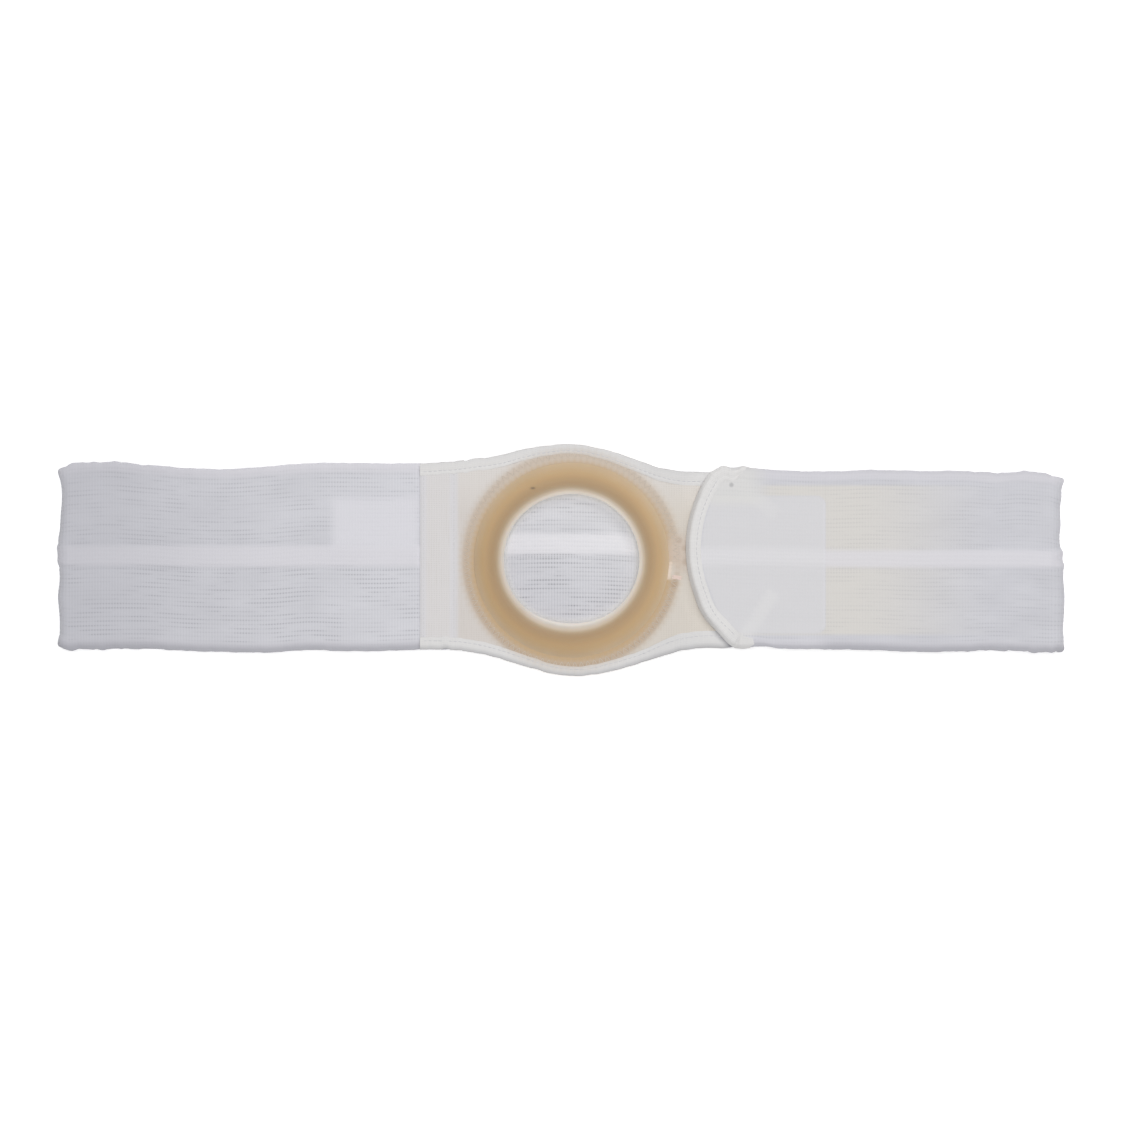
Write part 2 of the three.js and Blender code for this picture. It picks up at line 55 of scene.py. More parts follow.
DRAWN_LINES, DRAWN_HALF = (4.6, 7.6), 0.55
DRAPE_LIFT = 0.25
FRONT_Z, FASTENED_Z, TAB_Z, HOOK_STEP = 9.8, 12.4, 13.7, 0.35
FLOOR_CLEAR = 0.02
BAND_END_X, NOSE_X, NOSE_END_X = -58.6, 126.0, 90.0
FOLD_STEPS, NOSE_STEPS, NOSE_FLAT = 18, 14, 8.0
TAB_RADIUS, TAB_CENTRE_X, TAB_CENTRE_Y = 72.0, 144.2, 6.7
TAB_BOTTOM_Y, TAB_TOP_Y = -50.5, 53.0
TAB_FULL, TAB_DRAWN_IN, TAB_OVERHANG = 0.8, 1.6, 1.8
TAPE_INSET = 1.3

# Columns: x, upper edge, lower edge, middle of the rib, width of the rib, in millimetres
front_rows = np.array([
    (-58.6, 54.0, -50.0, 2.4, 12.6),
    (-78.4, 54.2, -50.2, 2.4, 12.6),
    (-100.8, 54.2, -51.0, 2.4, 12.6),
    (-123.2, 54.5, -51.0, 2.3, 12.6),
    (-140.0, 54.3, -50.4, 2.2, 12.6),
    (-162.4, 52.6, -51.8, 2.2, 12.6),
    (-187.6, 51.0, -51.5, 2.2, 12.6),
    (-207.2, 51.5, -51.0, 2.3, 12.6),
    (-229.6, 53.2, -49.8, 2.5, 12.2),
    (-254.8, 55.2, -50.0, 2.6, 12.0),
    (-275.2, 53.9, -50.5, 2.7, 12.0),
])
back_rows = np.array([
    (-275.2, 53.8, -50.2, 3.0, 10.6),
    (-255.0, 53.6, -49.9, 3.0, 10.6),
    (-205.0, 50.6, -50.0, 3.0, 10.6),
    (-160.0, 51.6, -49.6, 4.0, 11.0),
    (-115.0, 53.4, -48.4, 5.5, 11.5),
    (-75.0, 53.6, -47.4, 7.4, 12.0),
    (-40.0, 55.8, -46.5, 8.8, 12.4),
    (5.0, 57.0, -46.0, 9.1, 12.4),
    (40.0, 54.6, -46.6, 8.6, 12.0),
    (70.0, 48.9, -48.0, 5.0, 11.0),
    (100.0, 48.5, -48.0, 2.4, 10.6),
    (150.0, 48.6, -48.8, 1.2, 10.4),
    (200.0, 48.8, -49.8, 0.8, 10.4),
    (273.9, 48.3, -50.8, 0.6, 10.4),
])
fastened_rows = np.array([
    (273.9, 48.4, -51.9, 0.6, 10.4),
    (255.4, 49.6, -51.1, 0.7, 10.4),
    (245.3, 48.7, -50.6, 0.8, 10.4),
    (228.5, 49.8, -51.0, 0.8, 10.4),
    (204.0, 49.8, -51.5, 0.6, 10.4),
    (173.6, 50.4, -50.4, 0.6, 10.4),
    (150.0, 49.6, -50.0, 0.9, 10.4),
    (126.0, 50.1, -49.6, 1.5, 10.4),
    (112.0, 51.2, -49.3, 1.7, 10.4),
    (105.0, 51.7, -48.5, 1.8, 10.4),
    (90.0, 51.6, -48.6, 2.0, 10.4),
])

# Columns: y, how far the fold stands out there beyond an even half turn, in millimetres
left_fold_rows = np.array([
    (-50.0, 1.0), (-45.0, 0.9), (-40.0, 0.6), (-30.0, 0.8), (-21.0, 1.6), (-10.0, 0.6), (-4.0, 0.9),
    (3.0, 0.6), (10.0, 1.5), (17.0, 0.6), (26.0, 0.0), (32.0, -0.5), (40.0, -0.5), (46.0, 0.4), (52.0, 0.3),
])
right_fold_rows = np.array([
    (-50.0, 0.8), (-47.5, 1.2), (-45.0, 2.1), (-40.0, 1.9), (-30.0, 2.4), (-20.0, 2.7), (-10.0, 2.0),
    (-4.5, 2.0), (0.0, 0.5), (5.5, 0.9), (9.0, 0.1), (20.0, 0.5), (30.0, 0.3), (37.0, 1.1), (42.0, 0.7),
    (46.0, 1.2),
])


def through(rows, column, at):
    """Smooth line through a column of a table: a cubic from row to row, with the mean slope at each row."""
    rows = rows[np.argsort(rows[:, 0])]
    knots, values = rows[:, 0], rows[:, column]
    slopes = np.gradient(values, knots)
    i = np.clip(np.searchsorted(knots, at) - 1, 0, len(knots) - 2)
    width = knots[i + 1] - knots[i]
    t = np.clip((at - knots[i]) / width, 0, 1)
    start = (1 + 2 * t) * (1 - t) ** 2 * values[i] + t * (1 - t) ** 2 * width * slopes[i]
    end = t ** 2 * (3 - 2 * t) * values[i + 1] + t ** 2 * (t - 1) * width * slopes[i + 1]
    return start + end


def ease(low, high, at):
    """0 below low, 1 above high, and a smooth S between them."""
    t = np.clip((at - low) / (high - low), 0, 1)
    return t * t * (3 - 2 * t)


def hump(at, middle, half):
    """Smooth bell: 1 at its middle, falling with the square of the distance over a half width."""
    return np.exp(-((at - middle) / half) ** 2)


def ripple(at, *waves):
    """Sum of sine waves, each given as height, length and start, for lumps that never quite repeat."""
    return sum(height * np.sin(2 * np.pi * at / length + start) for height, length, start in waves)


def tab_arc(y, setback):
    """X of the tab's round end at each y, set back from its edge: an arc that is a little fuller below its
    middle and drawn in at its lower end."""
    y = np.clip(y, TAB_BOTTOM_Y, TAB_TOP_Y)
    arc = TAB_CENTRE_X - np.sqrt((TAB_RADIUS - setback) ** 2 - (y - TAB_CENTRE_Y) ** 2)
    return arc - TAB_FULL * ease(18, 28, -y) + TAB_DRAWN_IN * ease(32, 41, -y)


def on_tab(x):
    """1 on the tab, falling to 0 on the fastened run at its right."""
    return 1 - ease(140, 155, x)


def beside_tab(x, y, reach):
    """1 at the tab's edge, falling to 0 at a reach to its left, for the soft shade that the edge throws."""
    gap = tab_arc(y, -TAB_OVERHANG) - x
    return np.clip(1 - np.maximum(gap, 0) / reach, 0, 1) ** 1.4 * (1 - 0.8 * ease(10, 42, y))


# Columns of a station on the band: x, z, the way its outer face looks, upper edge, lower edge, middle and
# width of the rib, relief on the outer face, relief on the inner face, share of the tab's bend, setback
X, Z, TURN, UPPER, LOWER, OUTER, BEND = 0, 1, 2, 3, 4, 7, 9


def run_of_band(rows, x, z, turn, outer, inner, bend=0.0, setback=0.0):
    """Stations of one flat run, with its edges and rib from a table."""
    edges = [through(rows, column, x) for column in (1, 2, 3, 4)]
    return np.column_stack(np.broadcast_arrays(x, z, turn, *edges, outer, inner, bend, setback))


def fold_of_band(before, after, centre_x, turn, upper_inset, lower_inset):
    """Stations of a half turn: a semicircle from the last station of one run to the first of the next."""
    share = np.linspace(0, 1, FOLD_STEPS)[1:-1]
    rows = before + (after - before) * share[:, None]
    radius = abs(before[Z] - after[Z]) / 2
    angle = turn + np.pi * share
    bulge = np.sin(np.pi * share)
    rows[:, X] = centre_x + radius * np.cos(angle)
    rows[:, Z] = (before[Z] + after[Z]) / 2 + radius * np.sin(angle)
    rows[:, TURN] = angle
    rows[:, UPPER] -= upper_inset * bulge
    rows[:, LOWER] += lower_inset * bulge
    rows[:, OUTER] += (FOLD_RELIEF - rows[:, OUTER]) * (1 - abs(2 * share - 1))
    return rows


def solid_box(node):
    """Lowest and highest corner of one of the solids, in millimetres."""
    low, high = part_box(node)
    return np.array(low) / MM, np.array(high) / MM


band_low, band_high = solid_box("elastic_band")
hook_low, hook_high = solid_box("hook_patch")
label_low, label_high = solid_box("inner_label")
ring_low, ring_high = solid_box("support_ring")
ring_x, ring_y = (ring_low[:2] + ring_high[:2]) / 2
left_fold_x = band_low[0] + FOLD_RELIEF + BAND_HALF + (FRONT_Z - BAND_HALF) / 2
right_fold_x = band_high[0] - FOLD_RELIEF - BAND_HALF - (FASTENED_Z - BAND_HALF) / 2
UP, DOWN, UP_AGAIN = np.pi / 2, 3 * np.pi / 2, 5 * np.pi / 2

# The front run loses its relief where the panel's strip lies on it
front_x = np.linspace(BAND_END_X, left_fold_x, 112)
front_run = run_of_band(front_rows, front_x, FRONT_Z, UP, FACE_RELIEF * ease(78, 80, -front_x), 0.0)

# The back run has its closest stations behind the ring's opening
back_x = np.concatenate([
    np.linspace(left_fold_x, -42, 36),
    np.linspace(-40, 52, 62),
    np.linspace(56, right_fold_x, 34),
])
back_run = run_of_band(back_rows, back_x, BAND_HALF, DOWN, 0.0, BACK_RELIEF)

# The fastened run steps up over the edge of the hook patch and rises again to the tab
hook_edge = hook_high[0] + np.array([-0.9, -0.3, 0.3, 0.9])
fastened_x = np.unique(np.concatenate([np.linspace(right_fold_x, NOSE_X, 72), hook_edge]))[::-1]
fastened_z = FASTENED_Z + HOOK_STEP * ease(-1.2, 0.8, hook_high[0] - fastened_x)
fastened_z = fastened_z + (TAB_Z - FASTENED_Z - HOOK_STEP) * ease(-147, -126, -fastened_x)
fastened_run = run_of_band(fastened_rows, fastened_x, fastened_z, UP_AGAIN, FASTENED_RELIEF, 0.0)

# The nose, the tab's round end, bends more and more to the arc and then steps out to its edge
nose_bend = np.concatenate([np.linspace(0, 1, NOSE_STEPS)[1:], np.ones(5)])
nose_setback = np.concatenate([np.full(NOSE_STEPS - 1, NOSE_FLAT), [6.4, 4.8, 3.2, 1.6, 0.0]]) + TAPE_INSET
nose_x = np.linspace(NOSE_X, NOSE_END_X, len(nose_bend))
nose_relief = FASTENED_RELIEF * ease(6.5, 9.0, nose_setback)
nose_run = run_of_band(fastened_rows, nose_x, TAB_Z, UP_AGAIN, nose_relief, 0.0, nose_bend, nose_setback)
nose_run[:, X] = NOSE_X

left_fold = fold_of_band(front_run[-1], back_run[0], left_fold_x, UP, 2.2, 1.6)
right_fold = fold_of_band(back_run[-1], fastened_run[0], right_fold_x, DOWN, 2.4, -0.1)
runs = [front_run, left_fold, back_run, right_fold, fastened_run, nose_run]
stations = np.concatenate(runs)
run_number = np.concatenate([np.full(len(run), number) for number, run in enumerate(runs)])[:, None]
in_front, in_back, in_fastened, in_nose = run_number == 0, run_number == 2, run_number >= 4, run_number == 5

# Lumps that the hems make along both edges, stronger near the folds and none on the nose
steps = np.hypot(np.diff(stations[:, X]), np.diff(stations[:, Z]))
along = np.concatenate([[0], np.cumsum(np.maximum(steps, 0.4))])[:, None]
near_fold = ease(200, 275, abs(stations[:, [X]])) * ~in_back
lump_height = (0.6 + 1.6 * near_fold) * (1 - ease(0.0, 0.2, stations[:, [BEND]]))
upper_lumps = lump_height * ripple(along, (0.16, 23.0, 0.6), (0.12, 10.7, 2.1), (0.1, 6.1, 0.3))
lower_lumps = lump_height * ripple(along, (0.16, 19.0, 1.9), (0.12, 9.1, 0.8), (0.1, 5.3, 2.6))


def across_band(hem_steps, shares):
    """Points across one face of the band: distances in over the lower hem, shares of the way between the
    hems, and distances in over the upper hem."""
    hem_in = np.concatenate([hem_steps, np.full(len(shares), HEM_WIDTH), 2 * HEM_WIDTH - hem_steps[::-1]])
    share = np.concatenate([np.zeros(len(hem_steps)), shares, np.ones(len(hem_steps))])
    return np.stack([hem_in, share])


# One loop across the band: the outer face from the lower edge to the upper, then the inner face back
outer_hem = np.array([0.0, 0.12, 0.45, 1.0, 1.7, 2.6, 3.6, 4.6, 5.4])
inner_hem = np.array([0.45, 1.7, 4.0])
outer_loop = across_band(outer_hem, np.linspace(0, 1, 4 * COURSES + 1))
inner_loop = across_band(inner_hem, np.linspace(0, 1, 2 * COURSES + 1))[:, ::-1]
hem_in, share = np.concatenate([outer_loop, inner_loop], axis=1)
side = np.concatenate([np.ones(outer_loop.shape[1]), -np.ones(inner_loop.shape[1])])


def band_surface():
    """Grid of points over the band, with masks of its parts and of the painted shade along its edges.
    Across it, the offset from the middle of the cloth is half its thickness, rounded off at the edges,
    raised at hems and rib and grooved between courses. Along it, loops follow the runs and folds, and the
    last ones bend to the tab's arc."""
    x, z, turn, top, bottom, rib, rib_width, outer, inner, bend, setback = stations.T[:, :, None]
    y = bottom + hem_in + share * (top - bottom - 2 * HEM_WIDTH)
    from_bottom, from_top, from_rib, half_rib = y - bottom, top - y, abs(y - rib), rib_width / 2
    from_edge = np.minimum(from_bottom, from_top)
    hem = 1 - ease(HEM_FLAT, HEM_GONE, from_edge)
    blur = RIB_BLUR * in_fastened * on_tab(x)
    ribbed = 1 - ease(half_rib - RIB_INSIDE - blur, half_rib + RIB_OUTSIDE + blur, from_rib)
    rounded = np.sqrt(1 - (1 - np.clip(from_edge / HEM_ROUND, 0, 1)) ** 2)
    groove = 0.5 - 0.5 * np.cos(2 * np.pi * COURSES * share)
    patchy = 0.75 + 0.25 * np.sin(along / 17.0 + 3.0 * np.sin(share * 23.0))
    drawn_in = sum(hump(y - rib - half_rib, line, DRAWN_HALF) for line in DRAWN_LINES)
    gutter = hump(from_rib, half_rib + GUTTER_OUT, GUTTER_HALF) + drawn_in * in_back
    lumpy = 1 + hem * ripple(along + 40 * share, (0.35, 14.3, 0.4), (0.3, 6.7, 1.7))
    relief = np.where(side > 0, outer, inner) * np.maximum(hem * lumpy, ribbed)
    plain = (1 - hem) * (1 - ribbed)
    thick = BAND_HALF + relief - plain * (COURSE_DEPTH * groove * patchy + GUTTER_DEPTH * gutter)
    drape = DRAPE_LIFT + ripple(x + 0.5 * y, (0.2, 97.0, 0.4)) * np.cos(y / 34.0 + x / 61.0)
    settled = ease(84, 110, -x) * ease(14, 45, x - left_fold_x) * in_front
    settled = settled + ease(150, 175, x) * ease(10, 40, right_fold_x - x) * in_fastened
    offset = side * rounded * thick + np.maximum(drape, 0) * settled
    offset = offset + np.maximum(0, -np.cos(turn)) * through(left_fold_rows, 1, y)
    offset = offset + np.maximum(0, np.cos(turn)) * through(right_fold_rows, 1, y)
    y = y + upper_lumps * (1 - ease(0, HEM_WIDTH, from_top))
    y = y + lower_lumps * (1 - ease(0, HEM_WIDTH, from_bottom))
    px = x + offset * np.cos(turn)
    px = px + bend * (tab_arc(y, setback) - px)
    pz = np.maximum(z + offset * np.sin(turn), FLOOR_CLEAR)
    # Painted shade: darker along the lower edge, where the rounded hem turns away from light from above,
    # and along the top edge of the fastened run
    shaded = from_bottom * (1 + 0.4 * in_fastened * on_tab(px))
    low_edge_shade = 0.7 * (1 - ease(1.8, 4.8, shaded)) + 0.3 * (1 - ease(4.0, 6.8, shaded))
    top_edge_shade = 0.3 * in_fastened * (1 - ease(0.8, 3.0, from_top))
    masks = {"hem": hem, "rib": ribbed, "gutter": np.clip(gutter, 0, 1), "edge": low_edge_shade + top_edge_shade}
    return np.stack(np.broadcast_arrays(px, y, pz), axis=-1), masks


def soft_box(x, y, low, high, corner, soft):
    """1 inside an upright box with rounded corners, 0 outside, with soft edges."""
    past_x = abs(x - (low[0] + high[0]) / 2) - (high[0] - low[0]) / 2 + corner
    past_y = abs(y - (low[1] + high[1]) / 2) - (high[1] - low[1]) / 2 + corner
    outside = np.hypot(np.maximum(past_x, 0), np.maximum(past_y, 0))
    inside = np.minimum(np.maximum(past_x, past_y), 0)
    return 1 - ease(-soft, soft, outside + inside - corner)


def leaning_strip(x, y, start, end, width, soft):
    """1 along a straight strip between two points, 0 off it, with soft edges."""
    length = np.hypot(*np.subtract(end, start))
    way = np.subtract(end, start) / length
    run = (x - start[0]) * way[0] + (y - start[1]) * way[1]
    off = abs((y - start[1]) * way[0] - (x - start[0]) * way[1])
    between_ends = ease(-soft, soft, run) * ease(-soft, soft, length - run)
    return between_ends * ease(-soft, soft, width / 2 - off)


LIP_RADIUS, LIP_OVAL, LIP_REACH = 37.6, 0.5, 1.5


def lip_edge(angle):
    """Radius of the ring's opening at each angle from its middle: a little wider than high, with the lip
    reaching in at the lower side."""
    return LIP_RADIUS + LIP_OVAL * np.cos(2 * angle) - LIP_REACH * np.maximum(0, -np.sin(angle)) ** 5


SHARP_ANGLE = np.radians(50)


def put_faces(name, points, corners, sizes, inward=False, attributes=None):
    """Makes an object from points in metres, all faces' corners in a row and each face's number of them."""
    starts = np.concatenate([[0], np.cumsum(sizes)[:-1]])
    mesh = bpy.data.meshes.new(name)
    mesh.vertices.add(len(points))
    mesh.vertices.foreach_set("co", np.ascontiguousarray(points, np.float32).ravel())
    mesh.loops.add(len(corners))
    mesh.loops.foreach_set("vertex_index", corners.astype(np.int32))
    mesh.polygons.add(len(sizes))
    mesh.polygons.foreach_set("loop_start", starts.astype(np.int32))
    mesh.update(calc_edges=True)
    if inward:
        mesh.flip_normals()
    mesh.shade_smooth()
    mesh.set_sharp_from_angle(angle=SHARP_ANGLE)
    for label, values in (attributes or {}).items():
        attribute = mesh.attributes.new(label, "FLOAT", "POINT")
        attribute.data.foreach_set("value", np.ascontiguousarray(values, np.float32).ravel())
    piece = bpy.data.objects.new(name, mesh)
    bpy.context.scene.collection.objects.link(piece)
    return piece


def put_mesh(name, points, closed_around, attributes=None):
    """Makes an object from a grid of loops in millimetres: rows run along the piece and columns round it.
    Every loop closes on itself. The rows close into a ring, or else the two end loops are capped."""
    rows, columns = points.shape[:2]
    index = np.arange(rows * columns).reshape(rows, columns)
    this = index if closed_around else index[:-1]
    that = np.roll(index, -1, axis=0) if closed_around else index[1:]
    this_next, that_next = np.roll(this, -1, axis=1), np.roll(that, -1, axis=1)
    quads = np.stack([this, this_next, that_next, that], axis=-1).reshape(-1, 4)
    corners, sizes = [quads.ravel()], [np.full(len(quads), 4)]
    if not closed_around:
        corners += [index[0, ::-1], index[-1]]
        sizes += [np.array([columns, columns])]
    flat_points = points.reshape(-1, 3) * MM
    quad_points = flat_points[quads]
    facing = np.cross(quad_points[:, 1] - quad_points[:, 0], quad_points[:, 3] - quad_points[:, 0])
    inward = (facing * quad_points.mean(axis=1)).sum() < 0
    return put_faces(name, flat_points, np.concatenate(corners), np.concatenate(sizes), inward, attributes)


# Masks of what shows through the knit or falls on it
HOOK_CORNER, HOOK_SETBACK, HOOK_SOFT = 5.0, 7.0, 0.7
LABEL_SPREAD, LABEL_CORNER, LABEL_SOFT = 1.5, 2.0, 4.0
ENDS_WIDTH, ENDS_SOFT, ENDS_SHOW = 7.4, 1.4, (0.5, 0.8)
LIP_GLOW = 3.4
turned_ends = [((91.5, 49.5), (121.0, 25.0)), ((101.5, -46.0), (119.5, -18.0))]
band_points, band_masks = band_surface()
band_x, band_y = band_points[..., 0], band_points[..., 1]
facing_up = in_fastened & (side > 0)
label_shown = soft_box(
    band_x, band_y, label_low - LABEL_SPREAD, label_high + LABEL_SPREAD, LABEL_CORNER, LABEL_SOFT,
)
hook_shown = soft_box(band_x, band_y, (0, hook_low[1]), hook_high, HOOK_CORNER, HOOK_SOFT)
hook_shown = hook_shown * ease(-1, 1, band_x - tab_arc(band_y, HOOK_SETBACK))
ends_shown = sum(
    show * leaning_strip(band_x, band_y, start, end, ENDS_WIDTH, ENDS_SOFT)
    for show, (start, end) in zip(ENDS_SHOW, turned_ends)
)
corner_plain = (1 - ease(104, 120, band_x)) * ease(28, 35, band_y)
tail_shown = ease(82, 90, band_x) * (1 - ease(160, 250, band_x)) * (1 - ease(40.5, 43.0, abs(band_y)))
tail_shown = tail_shown * (1 - corner_plain) * (1 - hook_shown)
rib_light = 0.06 * in_front + 0.38 * in_back + (0.16 + 0.06 * on_tab(band_x)) * in_fastened
front_gaps, fastened_gaps = 0.6 + 0.16 * (band_y < 2), 0.42 - 0.3 * corner_plain

# Painted light inside the ring's opening, against the ring's shade: the back of the band is whiter by the
# lip and on its upper right, less so on its lower left
out_x, out_y = band_x - ring_x, band_y - ring_y
out_angle, out_far = np.arctan2(out_y, out_x), np.hypot(out_x, out_y)
to_lip = lip_edge(out_angle) - out_far
lit_side = np.cos(out_angle - np.radians(60)) * np.clip(out_far / 30, 0, 1)
hole_painted_light = 0.14 + 0.13 * lit_side + 0.84 * np.clip((LIP_GLOW - to_lip) / LIP_GLOW, 0, 1) ** 1.5

band_attributes = {
    "along": np.where(in_nose, along[in_nose][0] + NOSE_X - band_x, along) * MM,
    "across": np.broadcast_to(hem_in + share * COURSES * COURSE_PITCH, band_x.shape) * MM,
    "rib": band_masks["rib"],
    "hem": band_masks["hem"],
    "gutter": band_masks["gutter"],
    # Painted shade along the edges of every run but the back
    "edge": band_masks["edge"] * (0.62 - 0.14 * on_tab(band_x) * in_fastened) * ~in_back,
    "label_under": label_shown * (in_front & (side > 0)),
    "hook_under": hook_shown * facing_up,
    # Painted highlight along the hook patch's right edge, where the knit steps up over it
    "hook_rim_highlight": hump(band_x, hook_high[0] - 0.2, 0.9) * hook_shown * facing_up,
    "rib_light": band_masks["rib"] * rib_light,
    "ends_under": np.clip(ends_shown, 0, 1) * facing_up,
    "tail_under": tail_shown * facing_up,
    # Painted light inside the ring's opening
    "hole_painted_light": hole_painted_light * in_back * (side < 0) * ease(-6.0, -1.5, to_lip),
    "bold": np.where(in_back, 1.5, np.where(in_front, front_gaps, fastened_gaps)),
    # Painted light on the front run, stronger towards the panel
    "pale": (0.1 + 0.27 * ease(-150, -90, band_x)) * in_front,
    "plain": 0.8 * corner_plain * facing_up,
}
band = put_mesh("elastic_band_knit", band_points, False, band_attributes)


def paint(red, green, blue):
    """Colour for a shader from its 8-bit screen values."""
    screen = np.array([red, green, blue]) / 255
    linear = np.where(screen <= 0.04045, screen / 12.92, ((screen + 0.055) / 1.055) ** 2.4)
    return (*linear, 1.0)


def add_node(tree, kind, inputs=None, **settings):
    """Adds a node, sets its settings, and links or fills its inputs."""
    node = tree.nodes.new(kind)
    for name, value in settings.items():
        setattr(node, name, value)
    for key, value in (inputs or {}).items():
        if isinstance(value, bpy.types.NodeSocket):
            tree.links.new(value, node.inputs[key])
        else:
            node.inputs[key].default_value = value
    return node


def reckon(tree, operation, *values):
    """Adds a math node on sockets or numbers and gives its result."""
    return add_node(tree, "ShaderNodeMath", dict(enumerate(values)), operation=operation).outputs[0]


def product(tree, first, *others):
    """Multiplies sockets and numbers together."""
    for other in others:
        first = reckon(tree, "MULTIPLY", first, other)
    return first


def distance(tree, aside, ahead):
    """Length of the slant over two offsets: the root of the sum of their squares."""
    squares = [product(tree, offset, offset) for offset in (aside, ahead)]
    return reckon(tree, "SQRT", reckon(tree, "ADD", *squares))


def slope(tree, value, start, end, low=0.0, high=1.0):
    """Goes straight from low to high as a value goes from start to end, and stays level outside them."""
    return add_node(tree, "ShaderNodeMapRange", {0: value, 1: start, 2: end, 3: low, 4: high}).outputs[0]


def soft_slope(tree, value, start, end, low=0.0, high=1.0):
    """Goes from low to high on a smooth S as a value goes from start to end."""
    inputs = {0: value, 1: start, 2: end, 3: low, 4: high}
    return add_node(tree, "ShaderNodeMapRange", inputs, interpolation_type="SMOOTHSTEP").outputs[0]


def noise_over(tree, place, scale, detail):
    """Noise over two or three coordinates."""
    spot = add_node(tree, "ShaderNodeCombineXYZ", dict(enumerate(place))).outputs[0]
    inputs = {"Vector": spot, "Scale": scale, "Detail": detail}
    return add_node(tree, "ShaderNodeTexNoise", inputs).outputs[0]


def lay_over(tree, colour, layers):
    """Lays layers over a first colour in turn. A layer is a mask, the most of it that shows, its colour."""
    for mask, most, layer_colour in layers:
        inputs = {0: product(tree, mask, most), 6: colour, 7: paint(*layer_colour)}
        colour = add_node(tree, "ShaderNodeMix", inputs, data_type="RGBA").outputs[2]
    return colour


def painted(tree, *names):
    """Reads some of the piece's own attributes."""
    return [add_node(tree, "ShaderNodeAttribute", attribute_name=name).outputs["Fac"] for name in names]


def object_place(tree):
    """Gives the piece's own x, y and z in metres."""
    place = add_node(tree, "ShaderNodeTexCoord").outputs["Object"]
    return add_node(tree, "ShaderNodeSeparateXYZ", {0: place}).outputs


def new_group(name, inputs, outputs):
    """Starts a node group of plain numbers and gives its tree, what it is given and what it puts out."""
    tree = bpy.data.node_groups.new(name, "ShaderNodeTree")
    for label in inputs:
        tree.interface.new_socket(label, in_out="INPUT", socket_type="NodeSocketFloat")
    for label in outputs:
        tree.interface.new_socket(label, in_out="OUTPUT", socket_type="NodeSocketFloat")
    return tree, tree.nodes.new("NodeGroupInput").outputs, tree.nodes.new("NodeGroupOutput").inputs


def make_yarn_rows():
    """Node group for knitted cloth. Courses are a cosine across, wales a sine along, and fuzz is noise.
    Gaps are the dips between courses, dotted by the wales and broken into dashes and patches by noise."""
    tree, given, result = new_group(
        "yarn_rows",
        ("Along", "Across", "Wale Pitch", "Course Pitch"),
        ("Height", "Gaps", "Blotches", "Dots", "Patches"),
    )
    along, across = given["Along"], given["Across"]
    wale_turn = reckon(tree, "DIVIDE", along, given["Wale Pitch"])
    course_turn = reckon(tree, "DIVIDE", across, given["Course Pitch"])
    wale = reckon(tree, "SINE", product(tree, wale_turn, 2 * np.pi))
    course = reckon(tree, "COSINE", product(tree, course_turn, 2 * np.pi))
    dash = noise_over(tree, (product(tree, wale_turn, 0.06), reckon(tree, "FLOOR", course_turn)), 1.3, 3.0)
    fuzz = noise_over(tree, (wale_turn, course_turn), 2.3, 4.0)
    blotch = noise_over(tree, (product(tree, along, 34.0), product(tree, across, 60.0)), 1.0, 2.0)
    patch = noise_over(tree, (product(tree, along, 48.0), product(tree, across, 70.0), 4.7), 1.0, 1.0)
    broken = soft_slope(tree, dash, 0.33, 0.56)
    strong = soft_slope(tree, patch, 0.34, 0.6, 0.4)
    dots = reckon(tree, "POWER", reckon(tree, "MULTIPLY_ADD", wale, 0.5, 0.5), 1.5)
    dips = reckon(tree, "POWER", reckon(tree, "MULTIPLY_ADD", course, -0.5, 0.5), 2.6)
    dashes = product(tree, dips, broken, strong, reckon(tree, "MULTIPLY_ADD", dots, 0.8, 0.25))
    gaps = reckon(tree, "MAXIMUM", dashes, product(tree, dots, dots, 0.22))
    rows = reckon(tree, "MULTIPLY_ADD", course, 0.3, product(tree, wale, -0.25))
    height = reckon(tree, "MULTIPLY_ADD", fuzz, 0.9, rows)
    outputs = {"Height": height, "Gaps": gaps, "Blotches": blotch, "Dots": dots, "Patches": strong}
    for label, socket in outputs.items():
        tree.links.new(socket, result[label])
    return tree


def make_round_spot():
    """Node group for a soft round spot: 1 at its middle and 0 from its radius outwards."""
    tree, given, result = new_group("round_spot", ("X", "Y", "Middle X", "Middle Y", "Radius"), ("Spot",))
    aside = reckon(tree, "SUBTRACT", given["X"], given["Middle X"])
    ahead = reckon(tree, "SUBTRACT", given["Y"], given["Middle Y"])
    share = reckon(tree, "DIVIDE", distance(tree, aside, ahead), given["Radius"])
    tree.links.new(soft_slope(tree, share, 1.0, 0.3), result["Spot"])
    return tree


yarn_rows = make_yarn_rows()
round_spot = make_round_spot()


def yarn(tree, along, across, wale_pitch, course_pitch):
    """Puts rows of yarn along two coordinates, with their pitches in millimetres."""
    pitches = {"Wale Pitch": wale_pitch * MM, "Course Pitch": course_pitch * MM}
    inputs = {"Along": along, "Across": across, **pitches}
    return add_node(tree, "ShaderNodeGroup", inputs, node_tree=yarn_rows).outputs


def spot_at(tree, place, x, y, radius):
    """Adds a soft round spot at a point given in millimetres and gives its mask."""
    middle = {"Middle X": x * MM, "Middle Y": y * MM, "Radius": radius * MM}
    inputs = {"X": place[0], "Y": place[1], **middle}
    return add_node(tree, "ShaderNodeGroup", inputs, node_tree=round_spot).outputs["Spot"]


